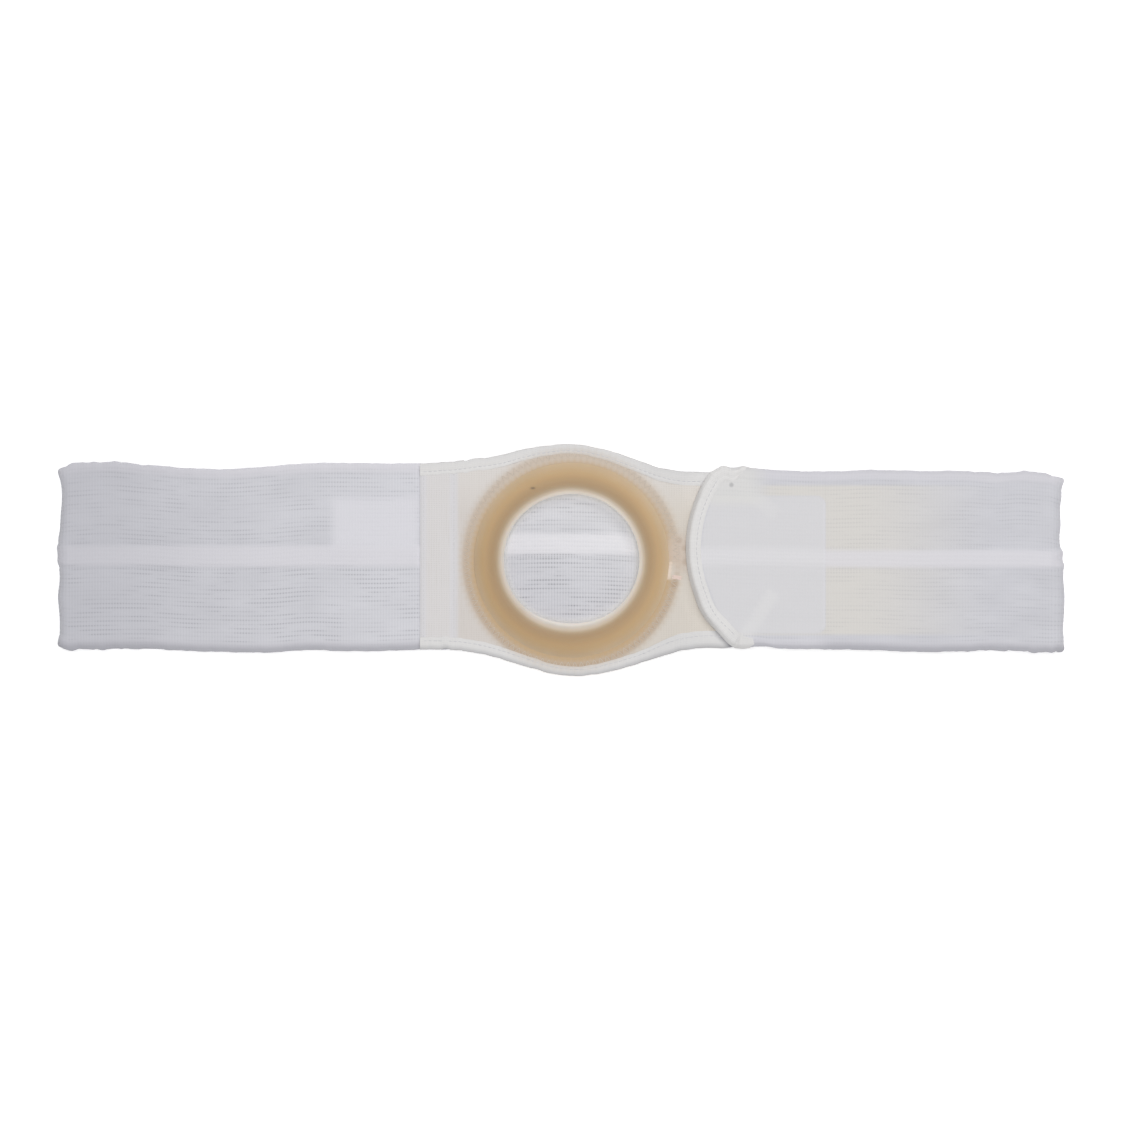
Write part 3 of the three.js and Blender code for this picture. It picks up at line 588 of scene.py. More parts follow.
def new_finish(name, roughness, sheen=0.0):
    """Starts a material and gives it with its node tree and shader."""
    material = bpy.data.materials.new(name)
    material.use_nodes = True
    shader = material.node_tree.nodes["Principled BSDF"]
    shader.inputs["Roughness"].default_value = roughness
    shader.inputs["Sheen Weight"].default_value = sheen
    shader.inputs["Specular IOR Level"].default_value = 0.2
    return material, material.node_tree, shader


def colour_and_bump(tree, shader, colour, height, strength, depth):
    """Gives the shader its colour, and a fine relief with its depth in millimetres."""
    tree.links.new(colour, shader.inputs["Base Color"])
    inputs = {"Height": height, "Strength": strength, "Distance": depth * MM}
    tree.links.new(add_node(tree, "ShaderNodeBump", inputs).outputs[0], shader.inputs["Normal"])


GREY_SPOT = (95.8, 42.0, 1.8)


def knit_finish():
    """White elastic knit: bluish white, darker in the gaps, whiter on rib and hems, with the label, hook
    patch and turned tape ends showing through as white and the panel's tail as cream. Painted light
    brightens the front run towards the panel and the back inside the ring's opening, a painted highlight
    runs along the hook patch's edge, and painted shade darkens the left end and the edges."""
    material, tree, shader = new_finish("elastic_knit", 0.92, 0.15)
    along, across, rib, hem, gutter, bold = painted(tree, "along", "across", "rib", "hem", "gutter", "bold")
    label, hook, hook_rim_highlight = painted(tree, "label_under", "hook_under", "hook_rim_highlight")
    ends, tail, plain, pale = painted(tree, "ends_under", "tail_under", "plain", "pale")
    rib_light, hole_painted_light, edge = painted(tree, "rib_light", "hole_painted_light", "edge")
    rows = yarn(tree, along, across, WALE_PITCH, COURSE_PITCH)
    place = object_place(tree)
    raised = reckon(tree, "MAXIMUM", rib, hem)
    covered = reckon(tree, "MAXIMUM", reckon(tree, "MAXIMUM", hook, label), product(tree, tail, 0.4))
    closed = product(tree, reckon(tree, "MAXIMUM", raised, covered), 0.85)
    open_knit = product(tree, reckon(tree, "SUBTRACT", 1.0, closed), bold)
    dotted = product(tree, gutter, rows["Dots"], rows["Patches"], 0.7, open_knit)
    gaps = reckon(tree, "MAXIMUM", product(tree, rows["Gaps"], open_knit), dotted)
    colour = lay_over(tree, paint(207, 207, 213), [
        (slope(tree, rows["Blotches"], 0.3, 0.7), 1.0, (214, 214, 220)),
        (pale, 1.0, (228, 228, 233)),
        # Painted light on the front run, stronger towards the panel
        (tail, 1.0, (221, 218, 214)),
        (raised, 0.7, (222, 220, 226)),
        # Painted shade, darker towards the band's left end
        (soft_slope(tree, place[0], -140 * MM, -290 * MM), 0.5, (184, 184, 192)),
        (hook, 0.85, (221, 220, 222)),
        # Painted highlight along the hook patch's edge
        (hook_rim_highlight, 0.5, (229, 228, 233)),
        (label, 0.85, (224, 223, 229)),
        (ends, 0.7, (227, 226, 227)),
        (rib_light, 1.0, (240, 239, 243)),
        (plain, 1.0, (224, 223, 221)),
        (gaps, 0.85, (157, 157, 164)),
        # Painted light on the band's back inside the ring's opening
        (hole_painted_light, 1.0, (255, 255, 255)),
        # Painted shade along the band's edges
        (edge, 1.0, (158, 158, 166)),
        (spot_at(tree, place, *GREY_SPOT), 0.4, (124, 124, 128)),
    ])
    colour_and_bump(tree, shader, colour, rows["Height"], 0.35, 0.4)
    return material


band.data.materials.append(knit_finish())
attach(band, "root")
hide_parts("elastic_band")


# Inner label
# A blank white woven label, sewn flat to the inner face of the band beside the panel. From the front it
# shows through the knit as a whiter oblong.
LABEL_PITCH, LABEL_BUMP = 0.6, 0.2


def slab_loops(left, right, y, under, top, columns):
    """Loops round a thin flat piece, one for each y: over the top from left to right, then back beneath."""
    share = np.linspace(0, 1, columns)
    across = left[:, None] + (right - left)[:, None] * share
    loop_x = np.concatenate([across, across[:, ::-1]], axis=1)
    loop_z = np.concatenate([np.full(columns, top), np.full(columns, under)])
    return np.stack(np.broadcast_arrays(loop_x, y[:, None], loop_z), axis=-1)


label_y = np.linspace(label_low[1], label_high[1], 30)
label_left, label_right = np.full(len(label_y), label_low[0]), np.full(len(label_y), label_high[0])
label_points = slab_loops(label_left, label_right, label_y, label_low[2], label_high[2], 40)
label = put_mesh("inner_label_blank", label_points, False)


def close_weave_finish(name, pitch, light, dark, bump_depth):
    """White cloth with even rows of yarn over x and y, darker in the gaps."""
    material, tree, shader = new_finish(name, 0.8, 0.1)
    place = object_place(tree)
    rows = yarn(tree, place[0], place[1], pitch, pitch)
    colour = lay_over(tree, paint(*light), [(rows["Gaps"], 1.0, dark)])
    colour_and_bump(tree, shader, colour, rows["Height"], 0.3, bump_depth)
    return material


label_weave = close_weave_finish("label_weave", LABEL_PITCH, (228, 227, 229), (205, 205, 209), LABEL_BUMP)
label.data.materials.append(label_weave)
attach(label, "root")
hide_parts("inner_label")


# Hook patch
# A white piece of hook tape sewn under the tab. It grips the panel's tail and closes the loop. Its left
# side follows the tab's arc and its right corners are rounded.
HOOK_PITCH, HOOK_BUMP = 1.3, 0.6
hook_middle, hook_half = (hook_high[1] + hook_low[1]) / 2, (hook_high[1] - hook_low[1]) / 2
hook_y = hook_middle + hook_half * np.sin(np.linspace(-np.pi / 2, np.pi / 2, 70))
over_corner = np.maximum(0, abs(hook_y - hook_middle) - (hook_half - HOOK_CORNER))
corner_cut = HOOK_CORNER - np.sqrt(np.maximum(0, HOOK_CORNER ** 2 - over_corner ** 2))
hook_left, hook_right = tab_arc(hook_y, HOOK_SETBACK), hook_high[0] - corner_cut
hook_points = slab_loops(hook_left, hook_right, hook_y, hook_low[2], hook_high[2], 60)
hook = put_mesh("hook_patch_tape", hook_points, False)
hook_weave = close_weave_finish("hook_rows", HOOK_PITCH, (226, 226, 229), (188, 188, 194), HOOK_BUMP)
hook.data.materials.append(hook_weave)
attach(hook, "root")
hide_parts("hook_patch")


# Front panel
# Cream stretch cloth that carries the ring. Its left strip lies over the band's end with a turned edge, the
# middle is open for the ring and its tail runs under the tab as the landing for the hooks.
PANEL_LEFT, PANEL_RIGHT = -78.4, 228.0
PANEL_THICK, PANEL_FEATHER = 1.0, 0.8
PANEL_HOLE, FEATHER_END = 54.6, 58.5
STRIP_UNDER, RING_UNDER, TAIL_UNDER = 10.9, 10.2, 9.0
STRIP_RIGHT = -57.6
EDGE_SEAM_X, INNER_SEAM_X = -76.4, -59.4
TEETH, TEETH_RADIUS, TEETH_HALF, TEETH_HEIGHT = 100, 58.8, 2.2, 0.06
EDGE_SEAM_DEPTH, INNER_SEAM_DEPTH = 0.12, 0.14
DIP_DEPTH, EDGE_RISE, EDGE_ROUND = 0.35, 0.15, 0.7
PANEL_SHADE, PANEL_SHADE_REACH = 0.22, 6.4
OUT_STEPS, BACK_STEPS = 46, 14

# Columns: x, upper edge and lower edge of the bound panel, in millimetres
panel_rows = np.array([
    (-78.4, 54.2, -50.2),
    (-68.0, 54.9, -50.2),
    (-57.6, 55.6, -50.6),
    (-47.0, 57.1, -52.1),
    (-33.6, 58.8, -55.4),
    (-20.2, 62.2, -59.4),
    (-6.7, 64.4, -63.3),
    (3.4, 65.0, -64.7),
    (13.4, 64.4, -65.0),
    (26.9, 61.6, -62.7),
    (40.3, 57.1, -59.4),
    (53.8, 52.6, -54.9),
    (68.0, 49.8, -51.0),
    (80.6, 49.6, -49.3),
    (93.0, 49.3, -49.5),
    (104.0, 49.0, -48.7),
    (150.0, 49.0, -48.8),
    (200.0, 49.0, -49.5),
    (228.0, 49.0, -49.8),
])
flange_radius = (ring_high[0] - ring_low[0]) / 2


def panel_under(x):
    """Height of the panel's underside: high on the band's end, level on the flange, lower on the tail."""
    to_ring = STRIP_UNDER + (RING_UNDER - STRIP_UNDER) * ease(STRIP_RIGHT, -36.0, x)
    return to_ring + (TAIL_UNDER - RING_UNDER) * ease(68.0, 80.6, x)


def panel_surface():
    """Grid of loops round the ring. Each loop runs from the hole out to the panel's edge on top and back
    again beneath. The top has a dip past the flange, a turned edge at the left and two sewn grooves in the
    strip. The underside rises to a thin edge at the hole, where the cloth laps the foot of the dome."""
    top_x = np.linspace(PANEL_LEFT, PANEL_RIGHT, 300)
    bottom_x = top_x[::-1]
    top_y = through(panel_rows, 1, top_x) - TAPE_INSET
    bottom_y = through(panel_rows, 2, bottom_x) + TAPE_INSET
    right_y = np.linspace(top_y[-1], bottom_y[0], 60)[1:-1]
    left_y = np.linspace(bottom_y[-1], top_y[0], 90)[1:-1]
    right_x, left_x = np.full(len(right_y), PANEL_RIGHT), np.full(len(left_y), PANEL_LEFT)
    rim_x = np.concatenate([top_x, right_x, bottom_x, left_x])
    rim_y = np.concatenate([top_y, right_y, bottom_y, left_y])
    angle = np.arctan2(rim_y - ring_y, rim_x - ring_x)
    hole_x = ring_x + PANEL_HOLE * np.cos(angle)
    hole_y = ring_y + PANEL_HOLE * np.sin(angle)
    share = np.concatenate([np.linspace(0, 1, OUT_STEPS) ** 1.25, np.linspace(1, 0, BACK_STEPS)])
    upper = np.arange(len(share)) < OUT_STEPS
    x = hole_x[:, None] + (rim_x - hole_x)[:, None] * share
    y = hole_y[:, None] + (rim_y - hole_y)[:, None] * share
    radius = np.hypot(x - ring_x, y - ring_y)
    past_flange = ease(flange_radius - 1.0, flange_radius + 2.5, radius)
    dip = DIP_DEPTH * past_flange * ease(-40, -30, x) * (1 - ease(60, 68, x))
    from_rim = np.minimum(through(panel_rows, 1, x) - y, y - through(panel_rows, 2, x))
    turned_edge = EDGE_RISE * (1 - ease(2.5, 4.0, x - PANEL_LEFT)) * ease(7.5, 9.5, from_rim)
    turned_edge = turned_edge - EDGE_ROUND * (1 - ease(-0.4, 1.2, x - PANEL_LEFT))
    sewn = EDGE_SEAM_DEPTH * hump(x, EDGE_SEAM_X, 0.6) + INNER_SEAM_DEPTH * hump(x, INNER_SEAM_X, 0.7)
    teeth = TEETH_HEIGHT * np.cos(TEETH * np.arctan2(y - ring_y, x - ring_x))
    teeth = teeth * hump(radius, TEETH_RADIUS, TEETH_HALF)
    feather = PANEL_FEATHER * (1 - ease(PANEL_HOLE, FEATHER_END, radius))
    z = panel_under(x) + np.where(upper, PANEL_THICK - dip + turned_edge - sewn + teeth, feather)
    return np.stack([x, y, z], axis=-1)


panel_points = panel_surface()
tab_shade = PANEL_SHADE * beside_tab(panel_points[..., 0], panel_points[..., 1], PANEL_SHADE_REACH)
panel = put_mesh("front_panel_cloth", panel_points, True, {"tab_shade": tab_shade})


def make_ring_tint():
    """Node group for what the tan flange does to the thin cloth over it, by the distance from the ring's
    middle: 1 beside the dome, falling to 0 past the rim. The zigzag makes the edge toothed and leaves
    needle holes, and the deep part reaches further out at the lower side."""
    tree, given, result = new_group("ring_tint", ("X", "Y"), ("Tint", "Deep", "Needle Holes"))
    aside = reckon(tree, "SUBTRACT", given["X"], ring_x * MM)
    ahead = reckon(tree, "SUBTRACT", given["Y"], ring_y * MM)
    far = distance(tree, aside, ahead)
    rim = flange_radius * MM
    tooth = reckon(tree, "COSINE", product(tree, reckon(tree, "ARCTAN2", ahead, aside), float(TEETH)))
    from_teeth = reckon(tree, "ABSOLUTE", reckon(tree, "SUBTRACT", far, rim - 1.4 * MM))
    toothed = reckon(tree, "MULTIPLY_ADD", tooth, 0.4 * MM, far)
    leaning = reckon(tree, "ADD", toothed, slope(tree, ahead, -45 * MM, 45 * MM, -0.5 * MM, 0.7 * MM))
    row_of_holes = soft_slope(tree, from_teeth, 2.4 * MM, 0.4 * MM)
    holes = product(tree, row_of_holes, reckon(tree, "MULTIPLY_ADD", tooth, 0.3, 0.7))
    tree.links.new(soft_slope(tree, toothed, rim + 4.2 * MM, rim - 4.4 * MM), result["Tint"])
    tree.links.new(soft_slope(tree, leaning, rim - 3.0 * MM, rim - 6.4 * MM), result["Deep"])
    tree.links.new(holes, result["Needle Holes"])
    return tree


ring_tint = make_ring_tint()

# Columns: x, y and radius of marks on the cloth, in millimetres
ZIGZAG_JOIN = (63.5, -6.0, 7.0)
BLUSH = (68.5, 4.0, 15.0)
BROWN_MARKS = [(66.6, 11.2, 2.6), (70.0, 6.7, 2.6), (70.3, -1.1, 2.8), (64.0, -13.5, 3.4)]
PALE_SPOTS = [(62.0, -1.8, 1.4), (61.7, -3.8, 1.5), (61.4, -5.8, 1.7), (61.0, -7.8, 1.9), (60.7, -9.6, 2.0)]


def panel_finish():
    """Cream stretch cloth: fine knit, warmer towards the ring's right and paler at the top, tan where the
    flange lies beneath, with small brown marks by the join of the zigzag and a short line of pale spots
    there. A painted highlight runs down the strip's turned edge and by its inner seam, and painted shade
    lies beside the tab's edge."""
    material, tree, shader = new_finish("panel_stretch_cloth", 0.92, 0.1)
    place = object_place(tree)
    x, y = place[0], place[1]
    rows = yarn(tree, y, x, 1.2, 1.4)
    tint = add_node(tree, "ShaderNodeGroup", {"X": x, "Y": y}, node_tree=ring_tint).outputs
    join = reckon(tree, "SUBTRACT", 1.0, product(tree, spot_at(tree, place, *ZIGZAG_JOIN), 0.8))
    shown = product(tree, join, slope(tree, y, -10 * MM, 45 * MM, 1.0, 0.66))
    holes = product(tree, tint["Needle Holes"], slope(tree, y, 20 * MM, -30 * MM, 0.18, 0.42))
    from_seam = reckon(tree, "ABSOLUTE", reckon(tree, "SUBTRACT", x, INNER_SEAM_X * MM))
    # Painted highlight along the ridge by the strip's inner seam and along its turned left edge
    seam_ridge = soft_slope(tree, from_seam, 3.4 * MM, 1.0 * MM)
    strip_highlight = reckon(tree, "MAXIMUM", seam_ridge, soft_slope(tree, x, -73.8 * MM, -75.8 * MM))
    colour = lay_over(tree, paint(217, 211, 207), [
        (slope(tree, x, -60 * MM, 70 * MM), 1.0, (219, 212, 203)),
        (slope(tree, y, 25 * MM, 45 * MM), 0.7, (226, 222, 219)),
        (slope(tree, x, -56 * MM, -61 * MM), 1.0, (222, 219, 219)),
        (tint["Tint"], shown, (199, 179, 156)),
        (tint["Deep"], shown, (198, 171, 136)),
        (holes, 1.0, (172, 140, 106)),
        (spot_at(tree, place, *BLUSH), 0.7, (213, 197, 184)),
        # Painted highlight down the strip's turned edge and by its inner seam
        (strip_highlight, 0.5, (221, 221, 227)),
        (rows["Gaps"], 0.3, (184, 177, 168)),
        *[(spot_at(tree, place, *brown_mark), 0.22, (150, 118, 88)) for brown_mark in BROWN_MARKS],
        (*painted(tree, "tab_shade"), 1.0, (138, 130, 116)),
        *[(spot_at(tree, place, *spot), 0.6, (238, 220, 204)) for spot in PALE_SPOTS],
    ])
    colour_and_bump(tree, shader, colour, rows["Height"], 0.3, 0.3)
    return material


panel.data.materials.append(panel_finish())
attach(panel, "root")
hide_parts("front_panel")


# Panel bindings
# White soft tape folded over the panel's two long edges and sewn through near its inner edge. Over the
# strip it has no lower leaf, because the band's end lies there.
TAPE_THICK, TAPE_GAP = 1.0, 0.25
UPPER_LEAF, LOWER_LEAF, NO_LEAF = 7.0, 3.0, 0.05
LEAF_NARROWED, LEAF_NARROW_HALF = 1.7, 26
PUCKER_HEIGHT, FOLD_SWELL = 0.09, 0.6
TAPE_SHADE, TAPE_SHADE_REACH = 0.4, 4.0
UPPER_WIDER, LOWER_WIDER = 0.8, 2.6
LEAF_STARTS_X = -57.2
STITCH_SHARE, STITCH_PITCH = 0.714, 2.8

# Columns: distance in from the fold as a share of the leaf, and height above the cloth's top in
# millimetres, for the upper leaf from its inner edge to the fold
upper_leaf_rows = np.array([
    (1.0, 0.04), (1.0, 0.08), (0.97, 0.17), (0.92, 0.3), (0.84, 0.45), (0.77, 0.5), (0.714, 0.45),
    (0.66, 0.56), (0.58, 0.75), (0.46, 0.95), (0.34, 1.1), (0.22, 1.1), (0.13, 0.92), (0.06, 0.6),
])

# The same for the lower leaf, with the height as a share of the way down to its foot
lower_leaf_rows = np.array([(0.06, 0.5), (0.18, 0.85), (0.5, 1.0)])


def tape_loops(line, inwards, cloth_under, cloth_top, upper_leaf, lower_leaf, foot, pucker, swell):
    """Loops of a folded tape along a line: round the upper leaf, the fold and the lower leaf, then back
    inside. Puckers lift the upper leaf between stitches and swell thickens the whole fold."""
    thick = np.full(len(line), TAPE_THICK)
    has_lower = cloth_under - foot > 0.5
    rise = upper_leaf_rows[:, 1] + pucker[:, None] * np.sin(np.pi * np.clip(upper_leaf_rows[:, 0], 0, 1))
    depth = np.column_stack([
        upper_leaf_rows[:, 0] * upper_leaf[:, None],
        -FOLD_SWELL * swell,
        lower_leaf_rows[:, 0] * lower_leaf[:, None],
        lower_leaf, lower_leaf, thick, thick,
    ])
    height = np.column_stack([
        cloth_top[:, None] + rise * (1 + swell[:, None]),
        (cloth_under + cloth_top) / 2,
        cloth_under[:, None] - (cloth_under - foot)[:, None] * lower_leaf_rows[:, 1],
        foot, foot + TAPE_THICK * has_lower, cloth_under - TAPE_GAP * has_lower, cloth_top + TAPE_GAP,
    ])
    flat = line[:, None, :] + depth[..., None] * inwards[:, None, :]
    return np.concatenate([flat, height[..., None]], axis=-1), depth


def run_along(points):
    """Distance along a line at each of its points."""
    return np.concatenate([[0], np.cumsum(np.linalg.norm(np.diff(points, axis=0), axis=1))])


def tape_attributes(line, depth, shade=0.0):
    """Distance along the tape and in from its fold, for the weave, and how much painted shade greys the
    tape.
    """
    along, shade = (np.broadcast_to(values, depth.shape) for values in (run_along(line)[:, None], shade))
    return {"along": along * MM, "across": depth * MM, "shade": shade}


def upper_leaf_width(x, wider):
    """Width of a tape's upper leaf: narrower where it passes the ring and wider towards the tab."""
    return UPPER_LEAF - LEAF_NARROWED * hump(x, ring_x, LEAF_NARROW_HALF) + wider * ease(44, 66, x)


def sewn_pucker(run):
    """Lift of a tape's upper leaf along its run: a small wave with one crest to a stitch."""
    return PUCKER_HEIGHT * np.sin(2 * np.pi * run / STITCH_PITCH)


def panel_tape(name, column, inwards_y, lumps, wider, grey, grey_edge):
    """Tape along one edge of the panel, greyed by painted shade along its fold, towards the tab and in the
    tab's shade.
    """
    x = np.unique(np.concatenate([np.linspace(PANEL_LEFT, PANEL_RIGHT, 340), [STRIP_RIGHT, LEAF_STARTS_X]]))
    line = np.column_stack([x, through(panel_rows, column, x) - inwards_y * np.minimum(0, lumps(x))])
    inwards = np.tile([0.0, inwards_y], (len(x), 1))
    under, top = panel_under(x), panel_under(x) + PANEL_THICK
    has_leaf = ease(STRIP_RIGHT, LEAF_STARTS_X, x)
    lower_leaf = TAPE_THICK + NO_LEAF + (LOWER_LEAF - TAPE_THICK - NO_LEAF) * has_leaf
    foot = under - (TAPE_GAP + TAPE_THICK) * has_leaf - 0.02 * (1 - has_leaf)
    pucker = sewn_pucker(x) + ripple(x, (0.06, 13.0, 0.5), (0.05, 7.1, 1.2))
    leaf, swell = upper_leaf_width(x, wider), 0.05 * lumps(x)
    points, depth = tape_loops(line, inwards, under, top, leaf, lower_leaf, foot, pucker, swell)
    shade = grey + grey_edge * (1 - ease(0.8, 3.6, depth)) + 0.08 * ease(30, 62, points[..., 0])
    in_corner = 1 + 0.7 * ease(38, 46, -points[..., 1])
    shade = shade + TAPE_SHADE * in_corner * beside_tab(points[..., 0], points[..., 1], TAPE_SHADE_REACH)
    return put_mesh(name, points, False, tape_attributes(line, depth, shade))


def upper_tape_lumps(x):
    """Small bunches in the upper tape, close together where it meets the strip."""
    bunches = hump(x, -55, 9) * ripple(x, (0.9, 9.5, 0.9), (0.5, 5.2, 0.1))
    return ripple(x, (0.25, 31.0, 0.2), (0.15, 12.0, 1.0)) + bunches


def lower_tape_lumps(x):
    """Small bunches in the lower tape, close together where it meets the strip."""
    bunches = hump(x, -60, 8) * ripple(x, (0.6, 8.5, 2.0))
    return ripple(x, (0.25, 27.0, 1.2), (0.15, 10.0, 0.4)) + bunches


upper_tape = panel_tape("panel_tape_upper", 1, -1.0, upper_tape_lumps, UPPER_WIDER, 0.0, 0.1)
lower_tape = panel_tape("panel_tape_lower", 2, 1.0, lower_tape_lumps, LOWER_WIDER, 0.06, 0.28)


def tape_finish():
    """White binding tape: close ribs across the tape, grey where it is shaded, and a tan cast where it lies
    over the ring's flange."""
    material, tree, shader = new_finish("binding_tape_weave", 0.9, 0.15)
    place = object_place(tree)
    along, across, shade = painted(tree, "along", "across", "shade")
    rows = yarn(tree, across, along, 1.1, 0.9)
    tint = add_node(tree, "ShaderNodeGroup", {"X": place[0], "Y": place[1]}, node_tree=ring_tint).outputs
    colour = lay_over(tree, paint(228, 226, 225), [
        (rows["Blotches"], 1.0, (232, 231, 230)),
        (shade, 1.0, (150, 150, 156)),
        (tint["Tint"], 0.58, (203, 186, 166)),
        (rows["Gaps"], 0.3, (186, 186, 190)),
    ])
    colour_and_bump(tree, shader, colour, rows["Height"], 0.25, 0.3)
    return material


tape_cloth = tape_finish()
for tape, node in ((upper_tape, "panel_binding_top"), (lower_tape, "panel_binding_bottom")):
    tape.data.materials.append(tape_cloth)
    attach(tape, "root")
    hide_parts(node)


# Support ring
# One moulding of tan gum rubber. A dome with a steep inner side stands through the panel, a thin pale lip
# edges the opening, and the flat flange is sewn under the panel's cloth.
RING_SIDES, SECTION_STEPS = 300, 4
SPECK_X, SPECK_Y = -15.2, 40.2

# Columns: radius and height of the ring's section, from the lip over the dome and round beneath
ring_rows = np.array([
    (37.6, 9.68), (37.8, 9.78), (38.3, 9.9), (39.0, 10.02), (39.5, 10.18), (40.1, 10.5), (40.9, 11.0),
    (42.0, 11.8), (43.6, 12.6), (45.4, 13.1), (47.6, 13.3), (49.8, 13.1), (51.8, 12.5), (53.4, 11.75),
    (54.5, 11.15), (55.5, 10.65), (56.6, 10.2), (58.2, 9.95), (60.4, 9.75), (60.95, 9.3), (60.6, 8.85),
    (57.5, 8.65), (52.0, 8.55), (46.0, 8.6), (41.5, 8.8), (39.4, 9.2),
])


def ring_surface():
    """Loops of the ring's section turned about its middle. Each loop is a smooth closed line through the
    rows. The opening is a little oval, and the lip is wider at its lower side. Also gives each point's
    radius before the oval, and a share that grows towards the ring's lower left, for painted shade there."""
    count = len(ring_rows)
    looped = np.concatenate([ring_rows[-3:], ring_rows, ring_rows[:3]])
    numbered = np.column_stack([np.arange(-3, count + 3), looped])
    at = np.linspace(0, count, SECTION_STEPS * count, endpoint=False)
    radius, height = through(numbered, 1, at), through(numbered, 2, at)
    angle = np.linspace(0, 2 * np.pi, RING_SIDES, endpoint=False)[:, None]
    degrees = np.degrees(angle)
    oval = LIP_OVAL * np.cos(2 * angle)
    out = radius + (1 - ease(38.0, 42.0, radius)) * (lip_edge(angle) - oval - LIP_RADIUS)
    far = out + (oval + ripple(degrees, (0.06, 72.0, 1.0))) * (1 - ease(44, 54, radius))
    uneven = ripple(degrees, (0.05, 120.0, 0.2), (0.03, 45.0, 2.0))
    height = height + ease(42.0, 46.0, far) * uneven * (height > 10.5)
    points = np.stack([ring_x + far * np.cos(angle), ring_y + far * np.sin(angle), height], axis=-1)
    painted_shade_lower_left = np.broadcast_to((0.5 - 0.5 * np.cos(angle - np.radians(45))) ** 2, out.shape)
    return points, out, painted_shade_lower_left


ring_points, ring_out, ring_painted_shade_lower_left = ring_surface()
speck = hump(ring_points[..., 0], SPECK_X, 1.1) * hump(ring_points[..., 1], SPECK_Y, 0.6)
ring_attributes = {"out": ring_out * MM, "speck": speck, "painted_shade_lower_left": ring_painted_shade_lower_left}
ring = put_mesh("support_ring_rubber", ring_points, True, ring_attributes)

# Columns: share of the way out from the lip to the flange's rim, and the rubber's colour there
rubber_rows = [
    (0.0, 230, 227, 224), (0.094, 235, 230, 224), (0.12, 223, 218, 211), (0.14, 217, 210, 202),
    (0.162, 218, 208, 196), (0.192, 217, 203, 187), (0.223, 211, 195, 173), (0.249, 201, 181, 154),
    (0.294, 187, 162, 131), (0.366, 178, 148, 112), (0.438, 176, 144, 100), (0.483, 181, 146, 99),
    (0.547, 189, 156, 109), (0.657, 203, 176, 140), (0.747, 209, 187, 157), (1.0, 204, 184, 160),
]


def rubber_finish():
    """Tan gum rubber: a ramp of colour by radius, palest on the thin lip and deepest on the steep inner
    side, with cloudy noise, a little depth and a satin face. Painted shade darkens the lower left and
    painted light brightens the upper right."""
    material, tree, shader = new_finish("gum_rubber", 0.5)
    shader.inputs["Specular IOR Level"].default_value = 0.4
    shader.inputs["Subsurface Weight"].default_value = 0.12
    shader.inputs["Subsurface Radius"].default_value = (0.004, 0.0025, 0.0012)
    out, speck, painted_shade_lower_left = painted(tree, "out", "speck", "painted_shade_lower_left")
    ramp = add_node(tree, "ShaderNodeValToRGB", {0: slope(tree, out, 34.5 * MM, 61.0 * MM)})
    for share, *colour in rubber_rows[1:-1]:
        ramp.color_ramp.elements.new(share).color = paint(*colour)
    ramp.color_ramp.elements[0].color = paint(*rubber_rows[0][1:])
    ramp.color_ramp.elements[-1].color = paint(*rubber_rows[-1][1:])
    cloud = noise_over(tree, object_place(tree), 60.0, 3.0)
    colour = lay_over(tree, ramp.outputs[0], [
        (slope(tree, cloud, 0.35, 0.7), 0.16, (176, 146, 106)),
        # Painted shade on the lower left and painted light on the upper right
        (painted_shade_lower_left, 0.1, (120, 95, 62)),
        (reckon(tree, "SUBTRACT", 1.0, painted_shade_lower_left), 0.08, (230, 205, 170)),
        (speck, 1.0, (96, 78, 58)),
    ])
    colour_and_bump(tree, shader, colour, cloud, 0.08, 0.6)
    return material


ring.data.materials.append(rubber_finish())
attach(ring, "root")
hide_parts("support_ring")


# Tab binding
# The same tape round the D-shaped end of the band, bunched where it turns under at the two corners. The
# ends run in beneath the tab and show through it as pale slanting strips.
TAB_LEAF, UPPER_END_LEAF, LOWER_END_LEAF = 8.4, 2.6, 5.8
TAB_LIFT, TAB_CLEAR = 0.25, 0.15
DROOP_WIDTH = 2.8
ARC_TOP_Y, ARC_BOTTOM_Y = 49.0, -44.5
UPPER_TURN = [(106.5, 51.6), (90.0, 53.7)]
LOWER_TURN = [(97.6, -51.7), (109.0, -48.7)]
TURNED_WIDTH = 7.0

# Columns: x, height and half width of the bunches that the turned tape makes at the two corners
upper_bunches = [(91.0, 1.1, 2.6), (97.0, -0.7, 2.6), (103.4, 0.8, 2.8)]
lower_bunches = [(99.0, 0.4, 3.6)]


def pulled_curve(start, pull, end, t):
    """Curve from a start to an end that is pulled towards one point between them."""
    return (1 - t) ** 2 * np.array(start) + 2 * t * (1 - t) * np.array(pull) + t ** 2 * np.array(end)


def unit(ways):
    """The same directions with length 1."""
    return ways / np.linalg.norm(ways, axis=-1, keepdims=True)


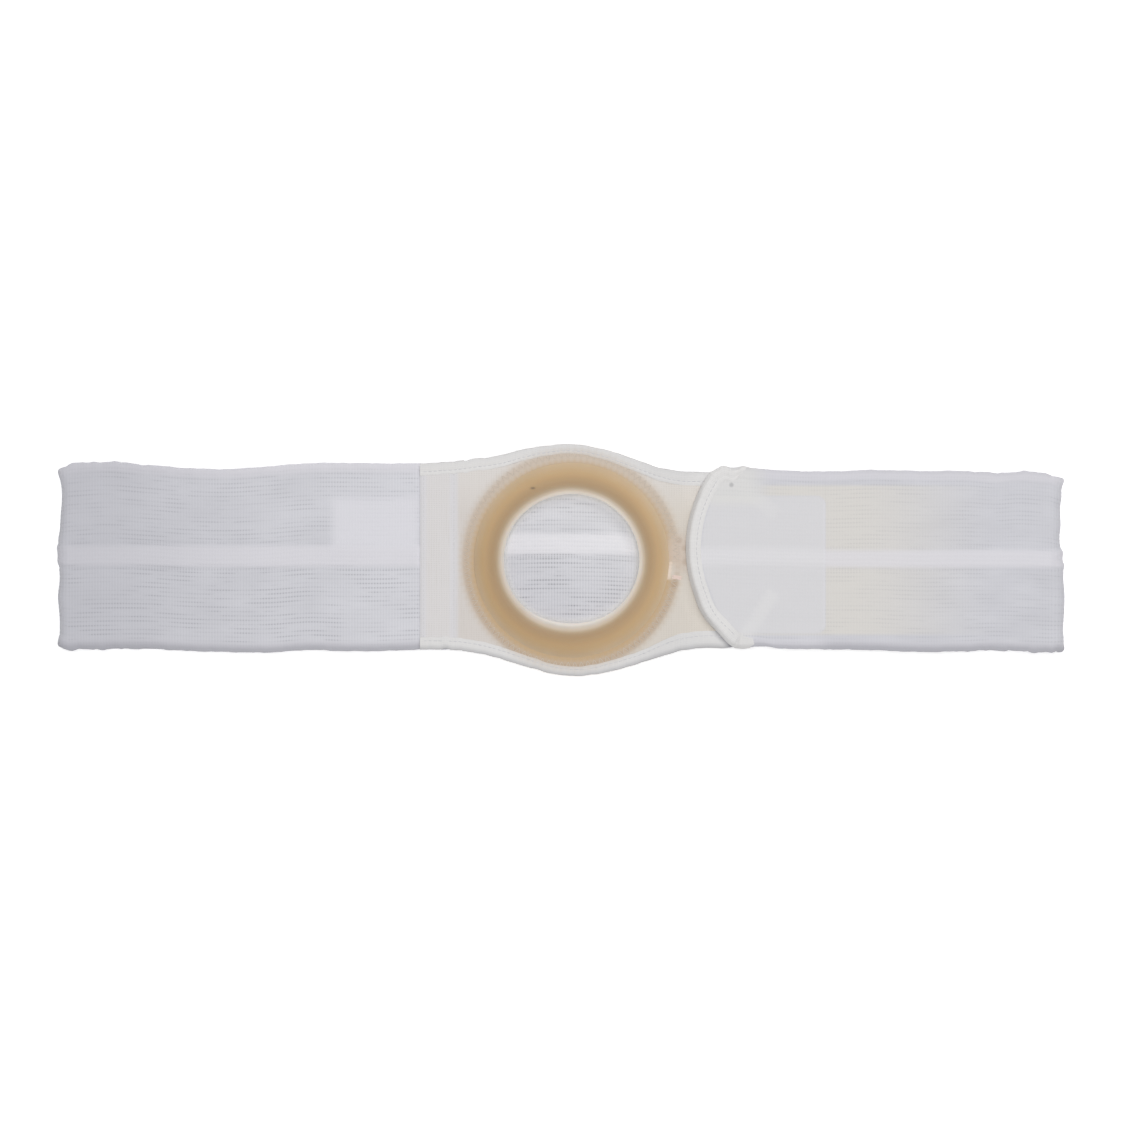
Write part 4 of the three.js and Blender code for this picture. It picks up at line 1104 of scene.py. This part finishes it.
def tab_tape():
    """Tape along the tab's arc. At both ends it turns the corner on a pulled curve and thins out. Its edge
    droops to the panel, and it is greyer towards its lower end."""
    start, end = (np.pi - np.arcsin((y - TAB_CENTRE_Y) / TAB_RADIUS) for y in (ARC_TOP_Y, ARC_BOTTOM_Y))
    arc_y = TAB_CENTRE_Y + TAB_RADIUS * np.sin(np.linspace(start, end, 150))
    arc = np.column_stack([tab_arc(arc_y, -TAB_OVERHANG), arc_y])
    t = np.linspace(0, 1, 24)[:-1, None]
    upper = pulled_curve(*UPPER_TURN, arc[0], t)
    lower = pulled_curve(arc[-1], *LOWER_TURN, 1 - t[::-1])
    line = np.concatenate([upper, arc, lower])
    way = unit(np.gradient(line, axis=0))
    inwards = np.column_stack([-way[:, 1], way[:, 0]])
    run = run_along(line)
    from_end = np.minimum(run, run[-1] - run)
    bunched = ease(1, 7, from_end) * (1 - ease(9, 18, from_end))
    thin = ease(0, 5, from_end)
    end_leaf = np.where(line[:, 1] > 0, UPPER_END_LEAF, LOWER_END_LEAF)
    leaf = end_leaf + (TAB_LEAF - end_leaf) * ease(0, 11, from_end)
    for bunches, turned in ((upper_bunches, line[:, 1] > 0), (lower_bunches, line[:, 1] < 0)):
        rise = sum(height * hump(line[:, 0], x, half) for x, height, half in bunches)
        line = line - inwards * (rise * turned * (1 - ease(18, 26, from_end)))[:, None]
    under, top = np.full(len(line), TAB_Z - BAND_HALF), np.full(len(line), TAB_Z + BAND_HALF)
    foot = under - (TAPE_GAP + TAPE_THICK) * (0.5 + 0.5 * thin)
    clear_of_tapes = 1 - ease(34, 41, abs(line[:, 1]))
    foot = foot + clear_of_tapes * (panel_under(line[:, 0]) + PANEL_THICK + TAB_CLEAR - foot)
    pucker = sewn_pucker(run) + ripple(run, (0.06, 11.0, 0.5), (0.05, 6.1, 1.2))
    pucker = pucker + 0.25 * bunched * ripple(run, (1.0, 5.1, 0.4), (0.6, 3.1, 1.5))
    swell = 0.3 * bunched * ripple(run, (0.6, 6.3, 0.9), (0.4, 3.9, 0.2)) - 0.6 * (1 - thin)
    points, depth = tape_loops(line, inwards, under, top, leaf, leaf, foot, pucker, swell)
    above = np.maximum(points[..., 2] - foot[:, None] - TAB_LIFT, 0)
    droop = (1 - ease(-1.0, DROOP_WIDTH, depth)) * (0.8 + 0.2 * clear_of_tapes[:, None])
    points[..., 2] -= above * droop
    shade = 0.09 * (1 - ease(12, 24, run[-1] - run))
    return put_mesh("tab_tape", points, False, tape_attributes(line, depth, shade[:, None]))


def turned_tape(name, start, end):
    """A flat strip of tape from one corner in beneath the tab, with a rounded section."""
    line = np.linspace(start, end, 24)
    way = unit(np.subtract(end, start))
    turn = np.linspace(0, 2 * np.pi, 20, endpoint=False)
    wide = TURNED_WIDTH / 2 * np.sign(np.cos(turn)) * abs(np.cos(turn)) ** 0.4
    high = TAPE_THICK / 2 * np.sign(np.sin(turn)) * abs(np.sin(turn)) ** 0.7
    points = np.empty((len(line), len(turn), 3))
    points[..., :2] = line[:, None, :] + wide[None, :, None] * np.array([-way[1], way[0]])
    points[..., 2] = TAB_Z - BAND_HALF - TAPE_GAP - TAPE_THICK / 2 + high
    return put_mesh(name, points, False, tape_attributes(line, np.broadcast_to(wide, points.shape[:2])))


tab_edge = tab_tape()
tab_edge.data.materials.append(tape_cloth)
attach(tab_edge, "root")
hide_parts("tab_binding")
turned_strips = [turned_tape(f"tab_tape_end_{number}", *ends) for number, ends in enumerate(turned_ends, 1)]
for strip in turned_strips:
    strip.data.materials.append(tape_cloth)
    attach(strip, "root")


# Stitching
# White thread: two lines down the panel's strip, one line along each tape, a zigzag that holds the ring's
# flange to the panel, and close stitches that lock the zigzag's two ends.
THREAD_WIDTH, ZIGZAG_WIDTH = 0.5, 0.4
STRIP_PITCH, STRIP_GAP, TAPE_STITCH_GAP = 2.6, 0.25, 0.5
STRIP_SAG, TAPE_SAG, RING_SAG = 0.08, 0.16, 0.12
ON_TAPE, ON_CLOTH = 0.5, 0.06
ZIGZAG_OUT, ZIGZAG_IN, LOCK_OUT = 61.2, 57.0, 62.6
JOIN_START, JOIN_END = np.radians(351), np.radians(359)
stitch_steps = np.array([0.0, 0.12, 0.5, 0.88, 1.0])
stitch_body = np.array([0.35, 0.85, 1.0, 0.85, 0.35])


def sewn_line(name, stitches, width, sag):
    """One small round-ended stitch for each start and end, as rings of six points that swell in the middle
    and dip into the cloth at both ends. All stitches are one mesh."""
    starts, ends = stitches
    around = np.linspace(0, 2 * np.pi, 6, endpoint=False)[:, None]
    way = unit(ends - starts)
    aside = unit(np.column_stack([-way[:, 1], way[:, 0], np.zeros(len(way))]))
    over = np.cross(way, aside)
    centre = starts[:, None] + (ends - starts)[:, None] * stitch_steps[:, None]
    centre = centre - over[:, None] * (sag * (2 * abs(stitch_steps - 0.5)) ** 2)[:, None]
    ring = np.cos(around) * aside[:, None] + np.sin(around) * over[:, None]
    points = centre[:, :, None] + width / 2 * stitch_body[:, None, None] * ring[:, None]
    index = np.arange(points[..., 0].size).reshape(points.shape[:3])
    after = np.roll(index, -1, axis=2)
    quads = np.stack([index[:, :-1], after[:, :-1], after[:, 1:], index[:, 1:]], axis=-1).reshape(-1, 4)
    caps = np.concatenate([index[:, 0, ::-1], index[:, -1]])
    corners = np.concatenate([quads.ravel(), caps.ravel()])
    sizes = np.concatenate([np.full(len(quads), 4), np.full(len(caps), caps.shape[1])])
    return put_faces(name, points.reshape(-1, 3) * MM, corners, sizes)


def along_line(x, y, z, pitch, gap):
    """Starts and ends of stitches of even pitch along a line, with a small gap between them."""
    points = np.column_stack(np.broadcast_arrays(x, y, z))
    run = run_along(points)
    at = np.arange(0, run[-1] - pitch, pitch)
    starts, ends = (
        np.stack([np.interp(at + shift, run, column) for column in points.T], axis=1)
        for shift in (gap, pitch)
    )
    return np.stack([starts, ends])


def strip_stitches(x, lift):
    """A line straight down the strip."""
    y = np.linspace(52.0, -48.0, 60)
    return along_line(x, y, STRIP_UNDER + PANEL_THICK + lift, STRIP_PITCH, STRIP_GAP)


def tape_stitches(column, inwards_y, wider):
    """A line along one of the panel's tapes."""
    x = np.linspace(-77.0, 226.0, 300)
    y = through(panel_rows, column, x) + inwards_y * STITCH_SHARE * upper_leaf_width(x, wider)
    return along_line(x, y, panel_under(x) + PANEL_THICK + ON_TAPE, STITCH_PITCH, TAPE_STITCH_GAP)


def tab_stitches():
    """A line along the tab's tape."""
    y = np.linspace(45.0, -42.0, 120)
    x = tab_arc(y, TAB_LEAF * STITCH_SHARE - TAB_OVERHANG)
    return along_line(x, y, TAB_Z + BAND_HALF + ON_TAPE, STITCH_PITCH, TAPE_STITCH_GAP)


def round_ring(radius, angle):
    """Points on the panel's cloth at a distance and angle from the ring's middle."""
    x = ring_x + radius * np.cos(angle)
    return np.column_stack([x, ring_y + radius * np.sin(angle), panel_under(x) + PANEL_THICK + ON_CLOTH])


def zigzag_stitches():
    """Stitches that run out and in between two circles round the ring, apart from its join."""
    angle = np.linspace(0, 2 * np.pi, 2 * TEETH + 1)
    points = round_ring(np.where(np.arange(2 * TEETH + 1) % 2 == 0, ZIGZAG_OUT, ZIGZAG_IN), angle)
    kept = (angle[:-1] <= JOIN_START) | (angle[:-1] >= JOIN_END)
    return np.stack([points[:-1][kept], points[1:][kept]])


def lock_stitches():
    """Close stitches straight out from the ring that lock the two ends of the zigzag."""
    angle = np.radians(np.linspace(-8.6, -10.2, 5))
    return np.stack([round_ring(ZIGZAG_IN, angle), round_ring(LOCK_OUT, angle)])


def thread_finish(name, dark, light):
    """Sewing thread with a fine twist."""
    material, tree, shader = new_finish(name, 0.7, 0.1)
    twist = noise_over(tree, object_place(tree), 3000.0, 2.0)
    tree.links.new(lay_over(tree, paint(*dark), [(twist, 1.0, light)]), shader.inputs["Base Color"])
    return material


strip_lines = [strip_stitches(EDGE_SEAM_X, -0.08), strip_stitches(INNER_SEAM_X, -0.2)]
tape_lines = [tape_stitches(1, -1.0, UPPER_WIDER), tape_stitches(2, 1.0, LOWER_WIDER), tab_stitches()]
seams = [
    sewn_line("strip_stitches", np.concatenate(strip_lines, axis=1), THREAD_WIDTH, STRIP_SAG),
    sewn_line("tape_stitches", np.concatenate(tape_lines, axis=1), THREAD_WIDTH, TAPE_SAG),
    sewn_line("ring_zigzag", zigzag_stitches(), ZIGZAG_WIDTH, RING_SAG),
    sewn_line("ring_zigzag_lock", lock_stitches(), THREAD_WIDTH, RING_SAG),
]
white_thread = thread_finish("white_thread", (202, 202, 205), (216, 215, 217))
zigzag_thread = thread_finish("zigzag_thread", (196, 184, 170), (214, 205, 194))
lock_thread = thread_finish("lock_thread", (226, 205, 196), (238, 220, 211))
for seam, thread in zip(seams, (white_thread, white_thread, zigzag_thread, lock_thread)):
    seam.data.materials.append(thread)
    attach(seam, "root")


# Floor, light and camera
# A plain near-white floor, a broad soft light from above with a little more from the upper right, and a
# long lens that looks straight down.
FLOOR_HALF = 12.0
WHITE = (1.0, 1.0, 1.0, 1.0)
floor_mesh = bpy.data.meshes.new("floor")
floor_corners = np.array([(-1, -1, 0), (1, -1, 0), (1, 1, 0), (-1, 1, 0)]) * FLOOR_HALF
floor_mesh.from_pydata(floor_corners.tolist(), [], [(0, 1, 2, 3)])
floor = bpy.data.objects.new("floor", floor_mesh)
bpy.context.scene.collection.objects.link(floor)
floor_paper, _, floor_shader = new_finish("floor_paper", 0.9)
floor_shader.inputs["Base Color"].default_value = (0.9, 0.9, 0.9, 1.0)
floor_shader.inputs["Emission Color"].default_value = WHITE
floor_shader.inputs["Emission Strength"].default_value = 0.42
floor_mesh.materials.append(floor_paper)


def soft_light(name, place, size, power):
    """A square light panel that looks at the middle of the floor."""
    data = bpy.data.lights.new(name, "AREA")
    data.size = size
    data.energy = power
    lamp = bpy.data.objects.new(name, data)
    lamp.location = place
    lamp.rotation_mode = "QUATERNION"
    lamp.rotation_quaternion = (-mathutils.Vector(place)).to_track_quat("-Z", "Y")
    bpy.context.scene.collection.objects.link(lamp)


soft_light("overhead", (0.0, 0.0, 2.6), 1.8, 52.2)
soft_light("upper_right", (0.6, 1.1, 1.5), 0.8, 6.0)
world = bpy.data.worlds.new("studio")
world.use_nodes = True
world.node_tree.nodes["Background"].inputs["Color"].default_value = WHITE
world.node_tree.nodes["Background"].inputs["Strength"].default_value = 0.15
bpy.context.scene.world = world
bpy.context.scene.view_settings.view_transform = "Standard"

PHOTO_PIXELS, PIXEL_SIZE = 1124, 0.00056
LENS, SENSOR = 100.0, 36.0
FOCUS_HEIGHT = 0.011
CAMERA_X, CAMERA_Y = 0.0011, -0.0011
camera_data = bpy.data.cameras.new("camera")
camera_data.lens = LENS
camera_data.sensor_width = SENSOR
camera = bpy.data.objects.new("camera", camera_data)
camera.location = (CAMERA_X, CAMERA_Y, FOCUS_HEIGHT + PHOTO_PIXELS * PIXEL_SIZE * LENS / SENSOR)
bpy.context.scene.collection.objects.link(camera)
bpy.context.scene.camera = camera
